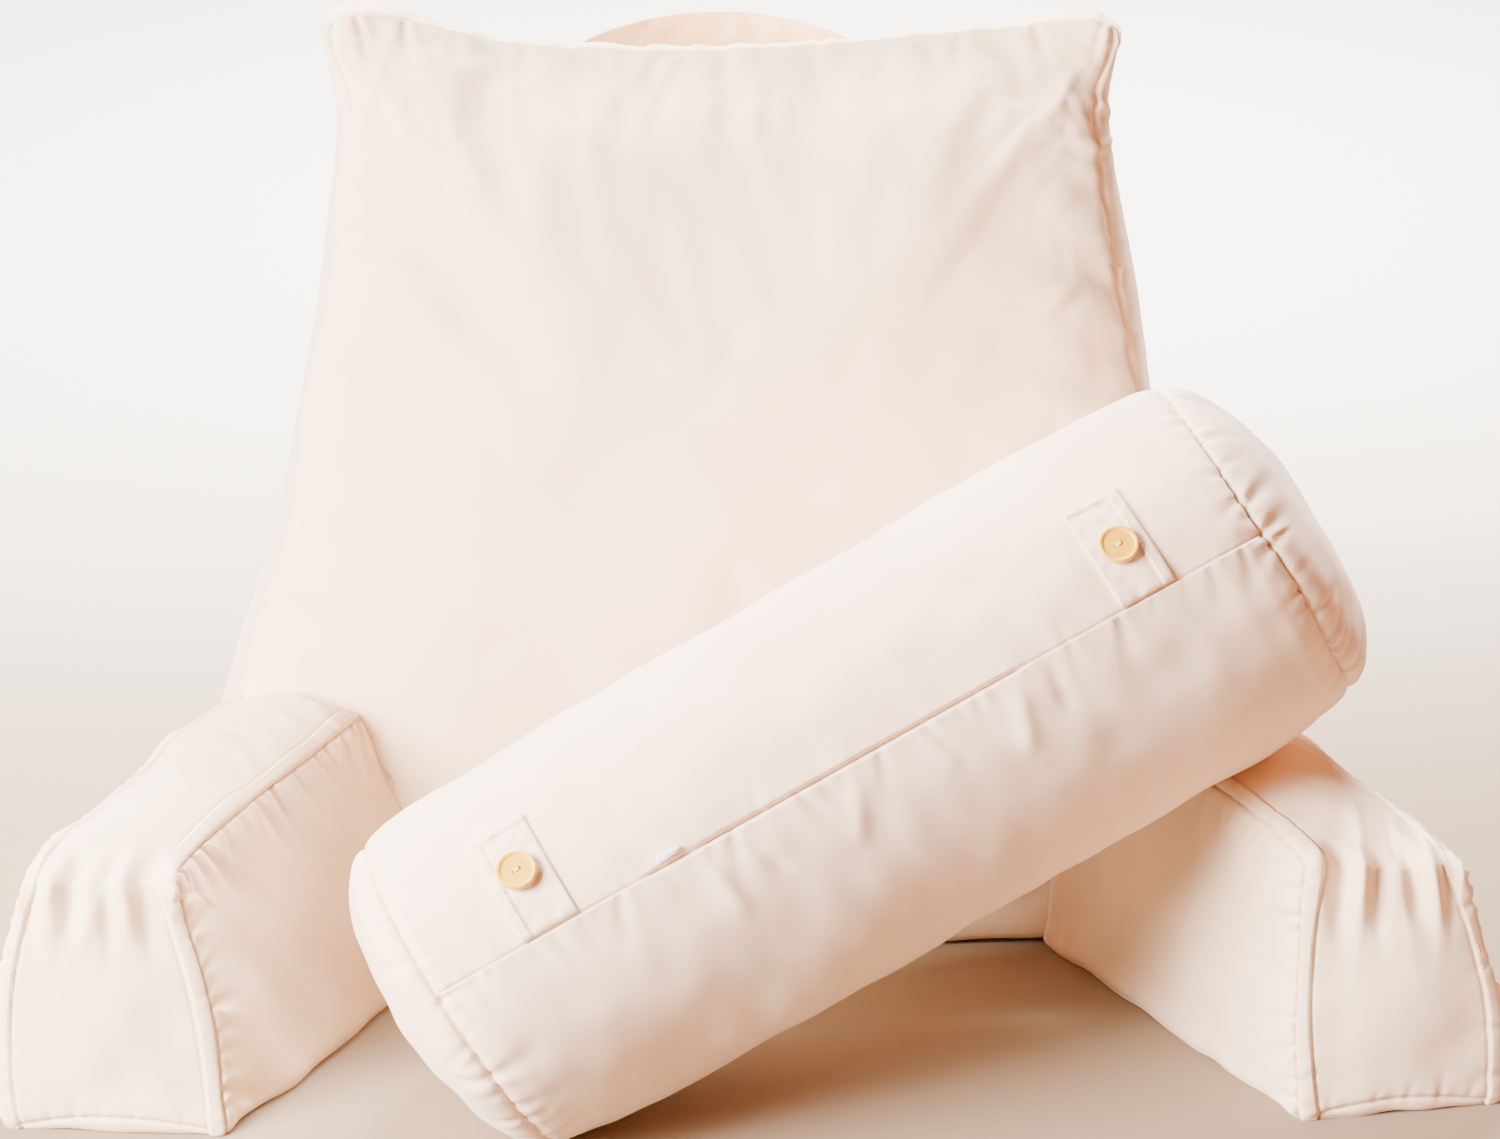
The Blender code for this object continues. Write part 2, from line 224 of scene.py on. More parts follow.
@dataclass
class Relief:
    """What is added to a cushion's cloth, point by point along its normals.

    Attributes:
        points: the cloth's points in metres.
        lift: how far each one moves out.
    """

    points: Points
    lift: Points = field(init=False)

    def __post_init__(self) -> None:
        """Starts with nothing added."""
        self.lift = np.zeros(len(self.points))

    def swell(self, length: float, height: float, seed: int) -> None:
        """Adds the broad, soft unevenness of a filling, by its length and height in metres."""
        self.lift += Ripple(length, seed).at(self.points) * height * 0.5

    def groove(self, line: Line, deep: float, wide: float) -> None:
        """Draws the cloth in along a seam, by a depth and a half width in metres."""
        chosen, _, away = line.near(self.points, wide * 3)
        self.lift[chosen] -= deep * np.exp(-((away / wide) ** 2))

    def puff(self, line: Line, high: float, wide: float) -> None:
        """Lets the cloth swell on both sides of a seam.

        Args:
            line: the seam.
            high: how far it swells, in metres.
            wide: how far from the seam the swelling is highest. It ends at five times that.
        """
        chosen, _, away = line.near(self.points, wide * 5)
        part = away / wide
        self.lift[chosen] += high * part * np.exp(1 - part) * smooth((5 - part) / 2.5)

    def puckers(
        self, line: Line, high: float, reach: float, spacing: float, seed: int, through: bool = False
    ) -> None:
        """Adds the short gathers that run away from a seam.

        Args:
            line: the seam.
            high: their height at the seam.
            reach: how far they run into the cloth.
            spacing: how far apart they are.
            seed: picks them.
            through: whether they cross the line, as where a panel is bent over an edge.
        """
        chosen, along, away = line.near(self.points, reach * 2.5)
        fan = Ripple(spacing * 5, seed + 1).at(along) * 0.25
        crease = Ripple(spacing, seed).at(along + fan * away)
        crease = np.where(crease > 0, crease, crease * 0.55)
        patch = 1.0 if through else smooth(0.55 + 0.4 * Ripple(spacing * 7, seed + 2).at(along))
        reached = reach * (0.65 + 0.5 * smooth(0.5 + 0.5 * Ripple(spacing * 1.7, seed + 3).at(along)))
        fade = np.exp(-((away / reached) ** 1.5)) * (1.0 if through else smooth(away / (2.5 * MM)))
        self.lift[chosen] += high * 0.6 * crease * patch * fade

    def gathers(
        self, line: Line, spacing: float, reach: float, deep: float, seed: int, side: Points | None = None,
        wide: float = 1.7 * MM,
    ) -> None:
        """Adds separate short creases that start at a seam and open out, each with a ridge beside it.

        Args:
            line: the seam.
            spacing: about how far apart they are.
            reach: how far the longest runs.
            deep: how deep the deepest is.
            seed: picks them.
            side: a weight for each point of the cloth.
            wide: a crease's half width at the seam.
        """
        chosen, along, away = line.near(self.points, reach * 1.2)
        rng = np.random.default_rng(seed)
        total = np.zeros(len(chosen))
        at = rng.uniform(0, spacing)
        while at < line.length:
            size, lean, turn = rng.uniform(0.35, 1.0), rng.uniform(-0.4, 0.4), rng.choice((-1, 1))
            opened = wide * (0.6 + 0.5 * size) + 0.14 * away
            part = (along - at - lean * away) * turn / opened
            fade = np.clip(1 - away / (reach * size), 0, 1) ** 1.3
            ridge = 0.6 * np.exp(-(((part - 1.9) / 1.4) ** 2)) + 0.3 * np.exp(-(((part + 2.0) / 1.4) ** 2))
            total += deep * size * fade * (ridge - np.exp(-(part**2)))
            at += spacing * rng.uniform(0.45, 1.8)
        self.lift[chosen] += total * (1.0 if side is None else side[chosen])

    def welt(self, line: Line, wide: float, high: float, side: Points) -> Line:
        """Raises the band of a stitched-down seam allowance.

        Args:
            line: the seam.
            wide: how wide the band is.
            high: its height.
            side: which points are on its side of the seam.

        Returns:
            The band's far edge, where its stitches run.
        """
        chosen, along, away = line.near(self.points, wide + 3 * MM)
        flat = smooth(away / (0.8 * MM)) * smooth((wide - away) / (0.9 * MM) + 0.5)
        step = np.exp(-(((away - wide - 0.9 * MM) / (0.9 * MM)) ** 2))
        self.lift[chosen] += (high * flat - 0.5 * high * step) * side[chosen]
        edge = (np.abs(away - wide + 1.5 * MM) < 1.2 * MM) & (side[chosen] > 0.5)
        bins = (along[edge] / (6 * MM)).astype(int)
        count = np.bincount(bins)
        sums = [np.bincount(bins, self.points[chosen[edge], axis]) for axis in range(3)]
        return Line(np.column_stack([total[count > 0] / count[count > 0] for total in sums]))

    def fold(self, line: Line, high: float, wide: float) -> None:
        """Adds one fold that fades out at both ends.

        Args:
            line: its ridge, or its valley where high is below zero.
            high: how far it stands out.
            wide: its half width.
        """
        chosen, along, away = line.near(self.points, wide * 3.2)
        taper = 0.35 * line.length
        ends = smooth(along / taper) * smooth((line.length - along) / taper)
        self.lift[chosen] += high * ends * np.exp(-((away / wide) ** 2))


def packed(
    start: float, end: float, seams: Sequence[float], fine: float, coarse: float, near: float
) -> Points:
    """Steps from start to end that get finer at seams.

    Args:
        start, end: the first and last value.
        seams: where the steps are fine.
        fine: the step at a seam.
        coarse: the step far from one.
        near: how far from a seam the fine steps reach.

    Returns:
        The values.
    """
    at = np.linspace(start, end, 4000)
    away = np.min([np.abs(at - seam) for seam in seams], axis=0)
    step = fine + (coarse - fine) * smooth(away / near - 0.5)
    gone = np.concatenate([[0], np.cumsum(np.diff(at) / step[1:])])
    return np.interp(np.linspace(0, gone[-1], 2 * round(gone[-1] / 2) + 1), gone, at)


def shaped(
    stations: Sequence[Sequence[float]], place: Callable[[Points, Points, Points], Points], levels: int
) -> tuple[Points, Points, Points]:
    """A rounded cushion: a cut cube, placed point by point and subdivided.

    Args:
        stations: where the cube from -1 to 1 is cut along X, Y and Z.
        place: gives the points' places from their three cube coordinates.
        levels: how often it is subdivided.

    Returns:
        The points, the four-sided faces, and each point's coordinates on the cube.
    """
    lines = [np.concatenate([[-1.0], cuts, [1.0]]) for cuts in stations]
    faces = []
    for axis in range(3):
        first, second = [a for a in range(3) if a != axis]
        a, b = np.meshgrid(np.arange(len(lines[first]) - 1), np.arange(len(lines[second]) - 1), indexing="ij")
        for end in (0, len(lines[axis]) - 1):
            corners = np.zeros((a.size, 4, 3), int)
            corners[:, :, axis] = end
            for corner, (da, db) in enumerate(((0, 0), (1, 0), (1, 1), (0, 1))):
                corners[:, corner, first] = a.ravel() + da
                corners[:, corner, second] = b.ravel() + db
            outward = (end > 0) != (axis == 1)
            faces.append(corners if outward else corners[:, ::-1])
    lattice = np.concatenate(faces)
    grid, index = np.unique(lattice.reshape(-1, 3), axis=0, return_inverse=True)
    cube = np.stack([lines[axis][grid[:, axis]] for axis in range(3)], axis=1)
    return subdivided(place(*cube.T), index.reshape(-1, 4), cube, levels)


def subdivided(points: Points, quads: Points, cube: Points, levels: int) -> tuple[Points, Points, Points]:
    """Rounds a mesh by subdividing it.

    Args:
        points: its points in metres.
        quads: its four-sided faces.
        cube: the points' places on the cut cube.
        levels: how often it is subdivided.

    Returns:
        The new points, faces and places on the cube.
    """
    mesh = bpy.data.meshes.new("cage")
    mesh.from_pydata(points.tolist(), [], quads.tolist())
    where = mesh.attributes.new("cube", "FLOAT_VECTOR", "POINT")
    where.data.foreach_set("vector", cube.ravel())
    cage = linked("cage", mesh)
    soft = cage.modifiers.new("soft", "SUBSURF")
    soft.levels = soft.render_levels = levels
    done = cage.evaluated_get(bpy.context.evaluated_depsgraph_get()).to_mesh()
    points = np.zeros(len(done.vertices) * 3)
    done.vertices.foreach_get("co", points)
    kept = np.zeros(len(done.vertices) * 3)
    done.attributes["cube"].data.foreach_get("vector", kept)
    quads = np.zeros(len(done.loops), np.int32)
    done.loops.foreach_get("vertex_index", quads)
    bpy.data.objects.remove(cage)
    bpy.data.meshes.remove(mesh)
    return points.reshape(-1, 3), quads.reshape(-1, 4), kept.reshape(-1, 3)


@dataclass(frozen=True)
class Stuffing:
    """Pressure from inside on cloth that is cut a little too large, with its seams held.

    Attributes:
        pressure: how hard the filling presses.
        slack: how much too large the cloth is.
        bending: how stiff it is.
        frames: how long it settles.
        cap: how far a point may move, in metres.
        gain: how much of the folds is kept.
    """

    pressure: float = 3.0
    slack: float = 0.03
    bending: float = 0.4
    frames: int = 13
    cap: float = 5 * MM
    gain: float = 0.75

    def settle(self, points: Points, quads: Points, held: Points) -> Points:
        """Lets the cloth settle and keeps its folds, not its broad swelling.

        Args:
            points: the cloth's points.
            quads: its four-sided faces.
            held: how firmly each point is held, 0 to 1.

        Returns:
            The settled points.
        """
        mesh = bpy.data.meshes.new("cloth")
        mesh.from_pydata(points.tolist(), [], quads.tolist())
        made = linked("cloth", mesh)
        group = made.vertex_groups.new(name="seams")
        for index in np.flatnonzero(held > 0.01):
            group.add([int(index)], float(held[index]), "REPLACE")
        cloth = made.modifiers.new("cloth", "CLOTH")
        cloth.collision_settings.use_collision = False
        setting = cloth.settings
        setting.quality, setting.mass = 4, 0.2
        setting.tension_stiffness = setting.compression_stiffness = 20.0
        setting.shear_stiffness, setting.bending_stiffness = 8.0, self.bending
        setting.use_pressure, setting.uniform_pressure_force = True, self.pressure
        setting.vertex_group_mass, setting.shrink_min = "seams", -self.slack
        setting.effector_weights.gravity = 0.0
        for frame in range(1, self.frames + 1):
            bpy.context.scene.frame_set(frame)
        done = made.evaluated_get(bpy.context.evaluated_depsgraph_get()).data
        moved = np.zeros(len(points) * 3)
        done.vertices.foreach_get("co", moved)
        bpy.context.scene.frame_set(1)
        bpy.data.objects.remove(made)
        normals = normals_of(points, quads)
        out = np.einsum("ij,ij->i", moved.reshape(-1, 3) - points, normals)
        broad = eased(np.column_stack([out] * 3), quads, np.full(len(out), 0.8), rounds=60)[:, 0]
        fold = np.clip(out - broad, -self.cap, self.cap) * self.gain * (1 - held)
        log.info("cloth folds: %.1f mm, swelling %.1f mm", 1000 * fold.std(), 1000 * broad.mean())
        return points + normals * fold[:, None]


def normals_of(points: Points, quads: Points) -> Points:
    """Finds each point's outward direction.

    Args:
        points: the mesh's points.
        quads: its four-sided faces.

    Returns:
        A unit vector for each point.
    """
    across, down = points[quads[:, 2]] - points[quads[:, 0]], points[quads[:, 3]] - points[quads[:, 1]]
    facing, corners = np.cross(across, down), quads.ravel()
    shares = [np.bincount(corners, np.repeat(facing[:, i], 4), minlength=len(points)) for i in range(3)]
    total = np.stack(shares, axis=1)
    return total / np.maximum(np.linalg.norm(total, axis=1, keepdims=True), 1e-12)


def eased(points: Points, quads: Points, amount: Points, rounds: int) -> Points:
    """Relaxes part of a mesh towards the middle of its neighbours.

    Args:
        points: the mesh's points.
        quads: its four-sided faces.
        amount: how far each point follows, 0 to 1.
        rounds: how often.

    Returns:
        The new points.
    """
    ends = np.concatenate([quads[:, [0, 1]], quads[:, [1, 2]], quads[:, [2, 3]], quads[:, [3, 0]]])
    one, other = ends.ravel(), ends[:, ::-1].ravel()
    count = np.bincount(one, minlength=len(points))[:, None]
    for _ in range(rounds):
        sums = [np.bincount(one, points[other, i], minlength=len(points)) for i in range(3)]
        points = points + amount[:, None] * (np.stack(sums, axis=1) / count - points)
    return points


def pushed_out(points: Points, blocker: BVHTree, clear: float, reach: float, pull: bool = False) -> Points:
    """Moves the points that are in, or too close to, another cushion to its surface.

    Args:
        points: the points to move.
        blocker: the other cushion.
        clear: how far outside its surface they may come.
        reach: how deep a point may have been.
        pull: whether points that are too far from it follow too.

    Returns:
        The new points.
    """
    moved = points.copy()
    for index, point in enumerate(points):
        hit, facing, _, _ = blocker.find_nearest(Vector(point), reach)
        if hit is None:
            continue
        out = (Vector(point) - hit).dot(facing)
        if out < clear or pull:
            moved[index] = np.array(hit + facing * clear)
    return moved


def as_piece(
    name: str, points: Points, quads: Points, weave: Points, material: bpy.types.Material
) -> bpy.types.Object:
    """Makes an object of a cushion's cloth.

    Args:
        name: the piece's name.
        points: its points in metres.
        quads: its four-sided faces.
        weave: each face corner's place on the cut cloth, in metres.
        material: its finish.

    Returns:
        The object, smooth shaded, with the weave as its UV map.
    """
    mesh = bpy.data.meshes.new(name)
    mesh.vertices.add(len(points))
    mesh.vertices.foreach_set("co", points.ravel())
    mesh.loops.add(quads.size)
    mesh.loops.foreach_set("vertex_index", quads.ravel())
    mesh.polygons.add(len(quads))
    mesh.polygons.foreach_set("loop_start", np.arange(0, quads.size, 4))
    mesh.update(calc_edges=True)
    mesh.uv_layers.new(name="weave").data.foreach_set("uv", weave.ravel())
    mesh.polygons.foreach_set("use_smooth", np.ones(len(quads), bool))
    mesh.materials.append(material)
    mesh.validate()
    made = linked(name, mesh)
    return made


def on_seams(cube: Points) -> Points:
    """1 for the points on a cushion's seams, which are the cut cube's edges, and 0 elsewhere."""
    return ((np.abs(cube) > 0.9999).sum(axis=1) > 1).astype(float)


def edge_line(
    points: Points, cube: Points, fixed: dict[int, float], part: tuple[float, float] = (-1.0, 1.0)
) -> Line:
    """The line where a cushion's panels meet.

    Args:
        points: the cushion's points.
        cube: their places on the cut cube.
        fixed: the cube's axes that are held, and where.
        part: how much of the free axis is kept.

    Returns:
        The line, in even steps.
    """
    free = next(axis for axis in range(3) if axis not in fixed)
    on = (cube[:, free] >= part[0] - 1e-6) & (cube[:, free] <= part[1] + 1e-6)
    for axis, value in fixed.items():
        on &= np.abs(cube[:, axis] - value) < 1e-5
    chosen = np.flatnonzero(on)
    return Line(points[chosen[np.argsort(cube[chosen, free])]]).even(5 * MM)


class Side(Enum):
    """Left or right as the photograph shows it, with the sign of X."""

    LEFT = -1
    RIGHT = 1


@dataclass
class Cushion:
    """A finished cushion.

    Attributes:
        points: its cloth's points in metres.
        quads: its four-sided faces.
        cube: the points' places on the cut cube.
        rows: the lines that its top stitching follows.
    """

    points: Points
    quads: Points
    cube: Points
    rows: list[Line] = field(default_factory=list)

    def tree(self) -> BVHTree:
        """The cloth as something that others can be measured against."""
        return BVHTree.FromPolygons(self.points.tolist(), self.quads.tolist())

    def raised(self, lift: Points) -> None:
        """Moves the cloth out along its normals."""
        self.points = self.points + normals_of(self.points, self.quads) * lift[:, None]

    def weave(self) -> Points:
        """Lays the weave on each panel, which is a side of the cut cube, level with its edges.

        Returns:
            Two coordinates in metres for each face corner.
        """
        panel = np.abs(self.cube[self.quads].mean(axis=1)).argmax(axis=1)
        corner = self.points[self.quads]
        flat = np.zeros((len(corner), 4, 2))
        for axis, (u, v) in enumerate(((1, 2), (0, 2), (0, 1))):
            chosen = panel == axis
            flat[chosen] = corner[chosen][:, :, [u, v]]
        return flat.reshape(-1, 2)


@dataclass
class Backrest:
    """The wedge-shaped back with its crowned front, side gussets and pinched ears.

    Attributes:
        front_foot, front_lean: where the front stands, and how far it runs back per height.
        back_foot, back_lean: the same for the back panel.
        front_crown, back_crown, side_crown: how far the panels swell.
        top_y, top_thick, ear_thick: the seam at the top, and how much thicker it is in the ears.
        top_shift: how far the top leans to one side.
        top_edge: rows of (across from -1 to 1, height).
        side_edge: rows of (height, half width).
        across, deep, high: where the cut cube has its cuts.
        pleats: the front's folds, as rows of (x, height, length, lean, how high and how wide, both in mm).
    """

    front_foot: float = 20.0
    front_lean: float = 0.34
    back_foot: float = 45.0
    back_lean: float = -0.14
    front_crown: float = 3.6
    back_crown: float = 1.8
    side_crown: float = 1.0
    top_y: float = 37.4
    top_thick: float = 0.9
    ear_thick: float = 2.2
    top_shift: float = -0.45
    top_edge: Table = (
        (-1.0, 49.2), (-0.94, 50.0), (-0.82, 49.6), (-0.69, 48.5), (-0.56, 47.7), (-0.43, 47.4),
        (-0.1, 47.1), (0.15, 47.2), (0.4, 47.9), (0.6, 48.1), (0.74, 48.5), (0.87, 49.1), (0.94, 49.2),
        (1.0, 48.5),
    )
    side_edge: Table = (
        (0, 29.6), (9.8, 29.3), (11.8, 28.2), (13.9, 27.0), (15.9, 26.0), (18, 25.3), (20, 24.6),
        (24, 23.9), (28, 23.2), (32, 22.5), (36, 21.7), (40, 21.0), (43, 20.6), (45, 20.7), (46.3, 21.3),
        (47.6, 22.2), (50, 22.2),
    )
    across: Sequence[float] = (-0.91, -0.78, -0.58, -0.3, 0.0, 0.3, 0.58, 0.78, 0.91)
    deep: Sequence[float] = (-0.72, 0.0, 0.72)
    high: Sequence[float] = (-0.95, -0.76, -0.5, -0.22, 0.08, 0.36, 0.6, 0.76, 0.86, 0.94)
    pleats: Table = (
        (-8.2, 45.8, 5.0, 0.5, 1.8, 3.5), (-6.3, 46.0, 6.5, 0.3, -2.2, 3.0),
        (-5.3, 46.0, 7.5, 0.4, 2.4, 3.2), (-4.0, 46.0, 5.5, 0.3, -1.8, 2.8),
        (-1.6, 46.2, 6.5, 0.6, 2.2, 3.0), (-0.4, 46.2, 7.5, 0.7, -2.3, 3.0),
        (0.9, 46.2, 7.0, 0.6, 2.2, 3.2), (2.6, 46.2, 4.5, 0.3, 1.4, 3.5), (-12.5, 46.2, 4.5, 0.8, 1.3, 4.0),
        (19.6, 43.8, 4.0, -4.5, 2.6, 4.0), (19.8, 42.2, 3.2, -5.5, -2.6, 3.6),
        (20.0, 40.8, 2.6, -4.8, 2.2, 3.6), (20.3, 36.6, 2.6, -3.8, 2.0, 3.4),
        (20.4, 35.6, 2.0, -3.4, -1.8, 3.0), (-20.3, 38.0, 1.8, 3.5, 1.8, 3.8),
        (-20.8, 34.0, 1.4, 3.2, -1.6, 3.6), (-22.5, 25.0, 1.5, 4.0, 1.6, 4.0),
        (19.5, 46.4, 3.0, -3.0, 1.8, 4.0),
    )

    def place(self, across: Points, deep: Points, high: Points) -> Points:
        """Places points on the backrest.

        Args:
            across, deep, high: their coordinates on the cut cube.

        Returns:
            The places in metres.
        """
        up, side = (high + 1) / 2, np.abs(across)
        z = up * column(self.top_edge, across, 1)
        fill = np.sqrt(np.clip(1 - side**5, 0, 1)) * np.sqrt(np.clip(1 - up**7, 0, 1)) * smooth(up * 2.4)
        front = self.front_foot + self.front_lean * z - self.front_crown * fill
        back = self.back_foot + self.back_lean * z + self.back_crown * fill
        pinch = smooth((up - 0.9) / 0.1)
        thick = self.top_thick + self.ear_thick * smooth((side - 0.68) / 0.3)
        front = between(front, self.top_y - thick / 2, pinch)
        back = between(back, self.top_y + thick / 2, pinch)
        bulge = self.side_crown * (1 - deep**2) * (1 - pinch)
        x = across * column(self.side_edge, z, 1) + np.sign(across) * bulge * side**6
        x = x + self.top_shift * smooth(up * 2)
        return in_row(x, between(front, back, (deep + 1) / 2), z)

    def build(self) -> Cushion:
        """Makes the cloth with its seams, gathers and folds.

        Returns:
            The backrest.
        """
        points, quads, cube = shaped((self.across, self.deep, self.high), self.place, levels=3)
        flat = smooth(1.5 - points[:, 2] / (20 * MM))
        gusset = 0.85 * (np.abs(cube[:, 0]) > 0.999)
        points = Stuffing().settle(points, quads, np.maximum(np.maximum(flat, gusset), on_seams(cube)))
        points, quads, cube = subdivided(points, quads, cube, levels=1)
        points = self.rounded(points, quads, cube[:, 2])
        relief = Relief(points)
        front = smooth((-cube[:, 1] - 0.9) / 0.1)
        relief.swell(length=110 * MM, height=1.6 * MM, seed=3)
        relief.swell(length=45 * MM, height=0.5 * MM, seed=4)
        for side in (-1.0, 1.0):
            for face, seed in ((-1.0, 20), (1.0, 30)):
                seam = edge_line(points, cube, {0: side, 1: face}, (-0.9, 1.0))
                relief.groove(seam, deep=1.6 * MM, wide=2.6 * MM)
                relief.puff(seam, high=1.2 * MM, wide=9 * MM)
                relief.puckers(seam, high=1.7 * MM, reach=24 * MM, spacing=15 * MM, seed=seed + int(side))
        for face, seed in ((-1.0, 40), (1.0, 50)):
            top = edge_line(points, cube, {1: face, 2: 1.0})
            relief.puckers(top, high=0.9 * MM, reach=34 * MM, spacing=26 * MM, seed=seed)
            panel = front if face < 0 else 1 - front
            relief.gathers(top, spacing=24 * MM, reach=55 * MM, deep=1.6 * MM, seed=seed + 5, side=panel)
        for x, z, run, lean, high, wide in self.pleats:
            path = [self.on_front(x + lean * part, z - run * part) for part in np.linspace(0, 1, 13)]
            relief.fold(Line(np.array(path)), high * MM, wide * MM)
        cushion = Cushion(points, quads, cube)
        cushion.raised(relief.lift)
        cushion.points[:, 2] = np.maximum(cushion.points[:, 2], 0.0)
        return cushion

    @staticmethod
    def rounded(points: Points, quads: Points, high: Points) -> Points:
        """Rounds the top edge and the ears, and keeps their height.

        Args:
            points, quads: the cloth.
            high: each point's height on the cut cube.

        Returns:
            The rounded points.
        """
        soft = eased(points, quads, 0.7 * smooth((high - 0.9) / 0.08), rounds=14)
        drop = (points - soft)[high > 0.9999, 2].mean()
        soft[:, 2] += drop * smooth((high - 0.8) / 0.2)
        log.info("top edge: put back up by %.1f mm", 1000 * drop)
        return soft

    def on_front(self, x: float, z: float) -> Points:
        """Finds a point of the front panel.

        Args:
            x, z: how far across and how high it is, in centimetres.

        Returns:
            Its place in metres.
        """
        across = (x - self.top_shift) / column(self.side_edge, z, 1)
        up = z / column(self.top_edge, across, 1)
        return self.place(np.array([across]), np.array([-1.0]), np.array([2 * up - 1]))[0]


@dataclass
class Arm:
    """One arm: a top and front in one strip, an inner and an outer side, and a base.

    Attributes:
        side: which arm it is.
        backrest: the cloth that it is sewn to.
        outline: rows of (back, inner at floor, inner at top, outer at floor, outer at top, height).
        front: how far back the front's corners are: inner and outer at the floor, then at the top.
        long: how far back the cut cube reaches, inside the backrest.
        lean: how far the top leans to the left.
        floor_in: how much further in the left arm stands on the floor.
        front_crown, top_crown, side_crown: how far the panels swell.
        along, across, high: where the cut cube has its cuts.
        folds: the top's folds, as rows of (across, along, to across, to along, height and width in mm).
        bends: creases over the bend, as rows of (across, upper end, lower end, height and width in mm).
    """

    side: Side
    backrest: BVHTree
    outline: Table = (
        (-2.0, 28.0, 30.0, 38.9, 37.2, 12.4),
        (0.0, 27.0, 29.6, 38.9, 37.3, 12.6),
        (3.0, 25.0, 28.9, 38.6, 36.8, 13.0),
        (8.0, 22.5, 26.9, 36.8, 34.6, 13.3),
        (12.7, 20.4, 24.7, 34.8, 32.6, 13.4),
        (16.0, 18.7, 23.0, 33.4, 31.3, 13.5),
        (21.0, 15.9, 20.9, 31.6, 29.9, 13.5),
        (25.0, 13.4, 18.8, 30.2, 28.0, 13.3),
        (30.0, 12.0, 17.4, 29.4, 26.8, 12.8),
    )
    front: Table = ((-2.2, -0.6), (1.6, 1.4))
    long: float = 30.0
    lean: float = -0.7
    floor_in: float = 0.8
    front_crown: float = 1.0
    top_crown: float = 1.2
    side_crown: float = 0.8
    along: Sequence[float] = (-0.91, -0.74, -0.5, -0.22, 0.08, 0.38, 0.66, 0.86, 0.95)
    across: Sequence[float] = (-0.82, -0.5, -0.17, 0.17, 0.5, 0.82)
    high: Sequence[float] = (-0.84, -0.5, -0.15, 0.2, 0.55, 0.84)
    folds: Table = (
        (-0.75, 0.60, 0.25, 0.75, 1.5, 5.0), (-0.55, 0.35, 0.45, 0.48, -1.4, 5.0),
        (-0.8, 0.1, -0.1, 0.3, 1.3, 4.5), (-0.85, 0.8, 0.1, 0.9, 1.4, 4.0),
        (0.85, -0.1, 0.2, 0.12, 1.2, 4.5),
    )
    bends: Table = (
        (-0.6, -0.7, 0.3, -3.4, 5.5), (-0.38, -0.78, 0.5, 2.6, 5.0), (-0.17, -0.72, 0.2, -2.4, 4.5),
        (0.06, -0.82, 0.55, 1.8, 6.0), (0.27, -0.74, 0.45, -3.0, 5.0), (0.5, -0.66, 0.25, 2.6, 5.0),
        (0.68, -0.8, 0.6, -1.8, 4.0),
    )

    def inside(self, point: Points) -> bool:
        """Finds whether a point is in the backrest.

        Args:
            point: the point, which counts as a little above the floor.

        Returns:
            Whether it is.
        """
        raised = Vector((point[0], point[1], max(point[2], 8 * MM)))
        hit, facing, _, _ = self.backrest.find_nearest(raised)
        return (raised - hit).dot(facing) < 0

    def place(self, across: Points, along: Points, high: Points) -> Points:
        """Places points on the arm, which ends at the backrest.

        Args:
            across, along, high: their coordinates on the cut cube.

        Returns:
            The places in metres.
        """
        end = np.ones(len(across))
        steps = np.linspace(0.1, 1, 61)
        for pair in np.unique(np.round(np.column_stack([across, high]), 6), axis=0):
            path = self.full(np.full(len(steps), pair[0]), steps, np.full(len(steps), pair[1]))
            found = next((step for step, point in zip(steps, path, strict=True) if self.inside(point)), 1.0)
            end[(np.abs(across - pair[0]) < 1e-5) & (np.abs(high - pair[1]) < 1e-5)] = (found + 1) / 2
        return self.full(across, (along + 1) * end - 1, high)

    def full(self, across: Points, along: Points, high: Points) -> Points:
        """Places points on the arm as it would run on inside the backrest.

        Args:
            across, along, high: their coordinates on the cut cube.

        Returns:
            The places in metres.
        """
        mirror = self.side.value
        out, back, up = (across * mirror + 1) / 2, (along + 1) / 2, (high + 1) / 2
        foot, top = (between(*corners, out) for corners in self.front)
        start = between(foot, top, up)
        start = start - self.front_crown * np.sin(math.pi * out) * np.sin(math.pi * (0.1 + 0.8 * up))
        y = between(start, self.long, back)
        inner, outer = (
            column(self.outline, y, low) * (1 - up) + column(self.outline, y, low + 1) * up for low in (1, 3)
        )
        swell = np.sin(math.pi * up) * self.side_crown
        inner = inner - swell * 0.5 - (self.floor_in * (1 - up) if mirror < 0 else 0)
        outer = outer + swell
        z = up * (column(self.outline, y, 5) + self.top_crown * np.sin(math.pi * out) * smooth(back * 6))
        x = between(inner, outer, out) * mirror + self.lean * up * smooth((30 - y) / 8)
        return in_row(x, y, z)

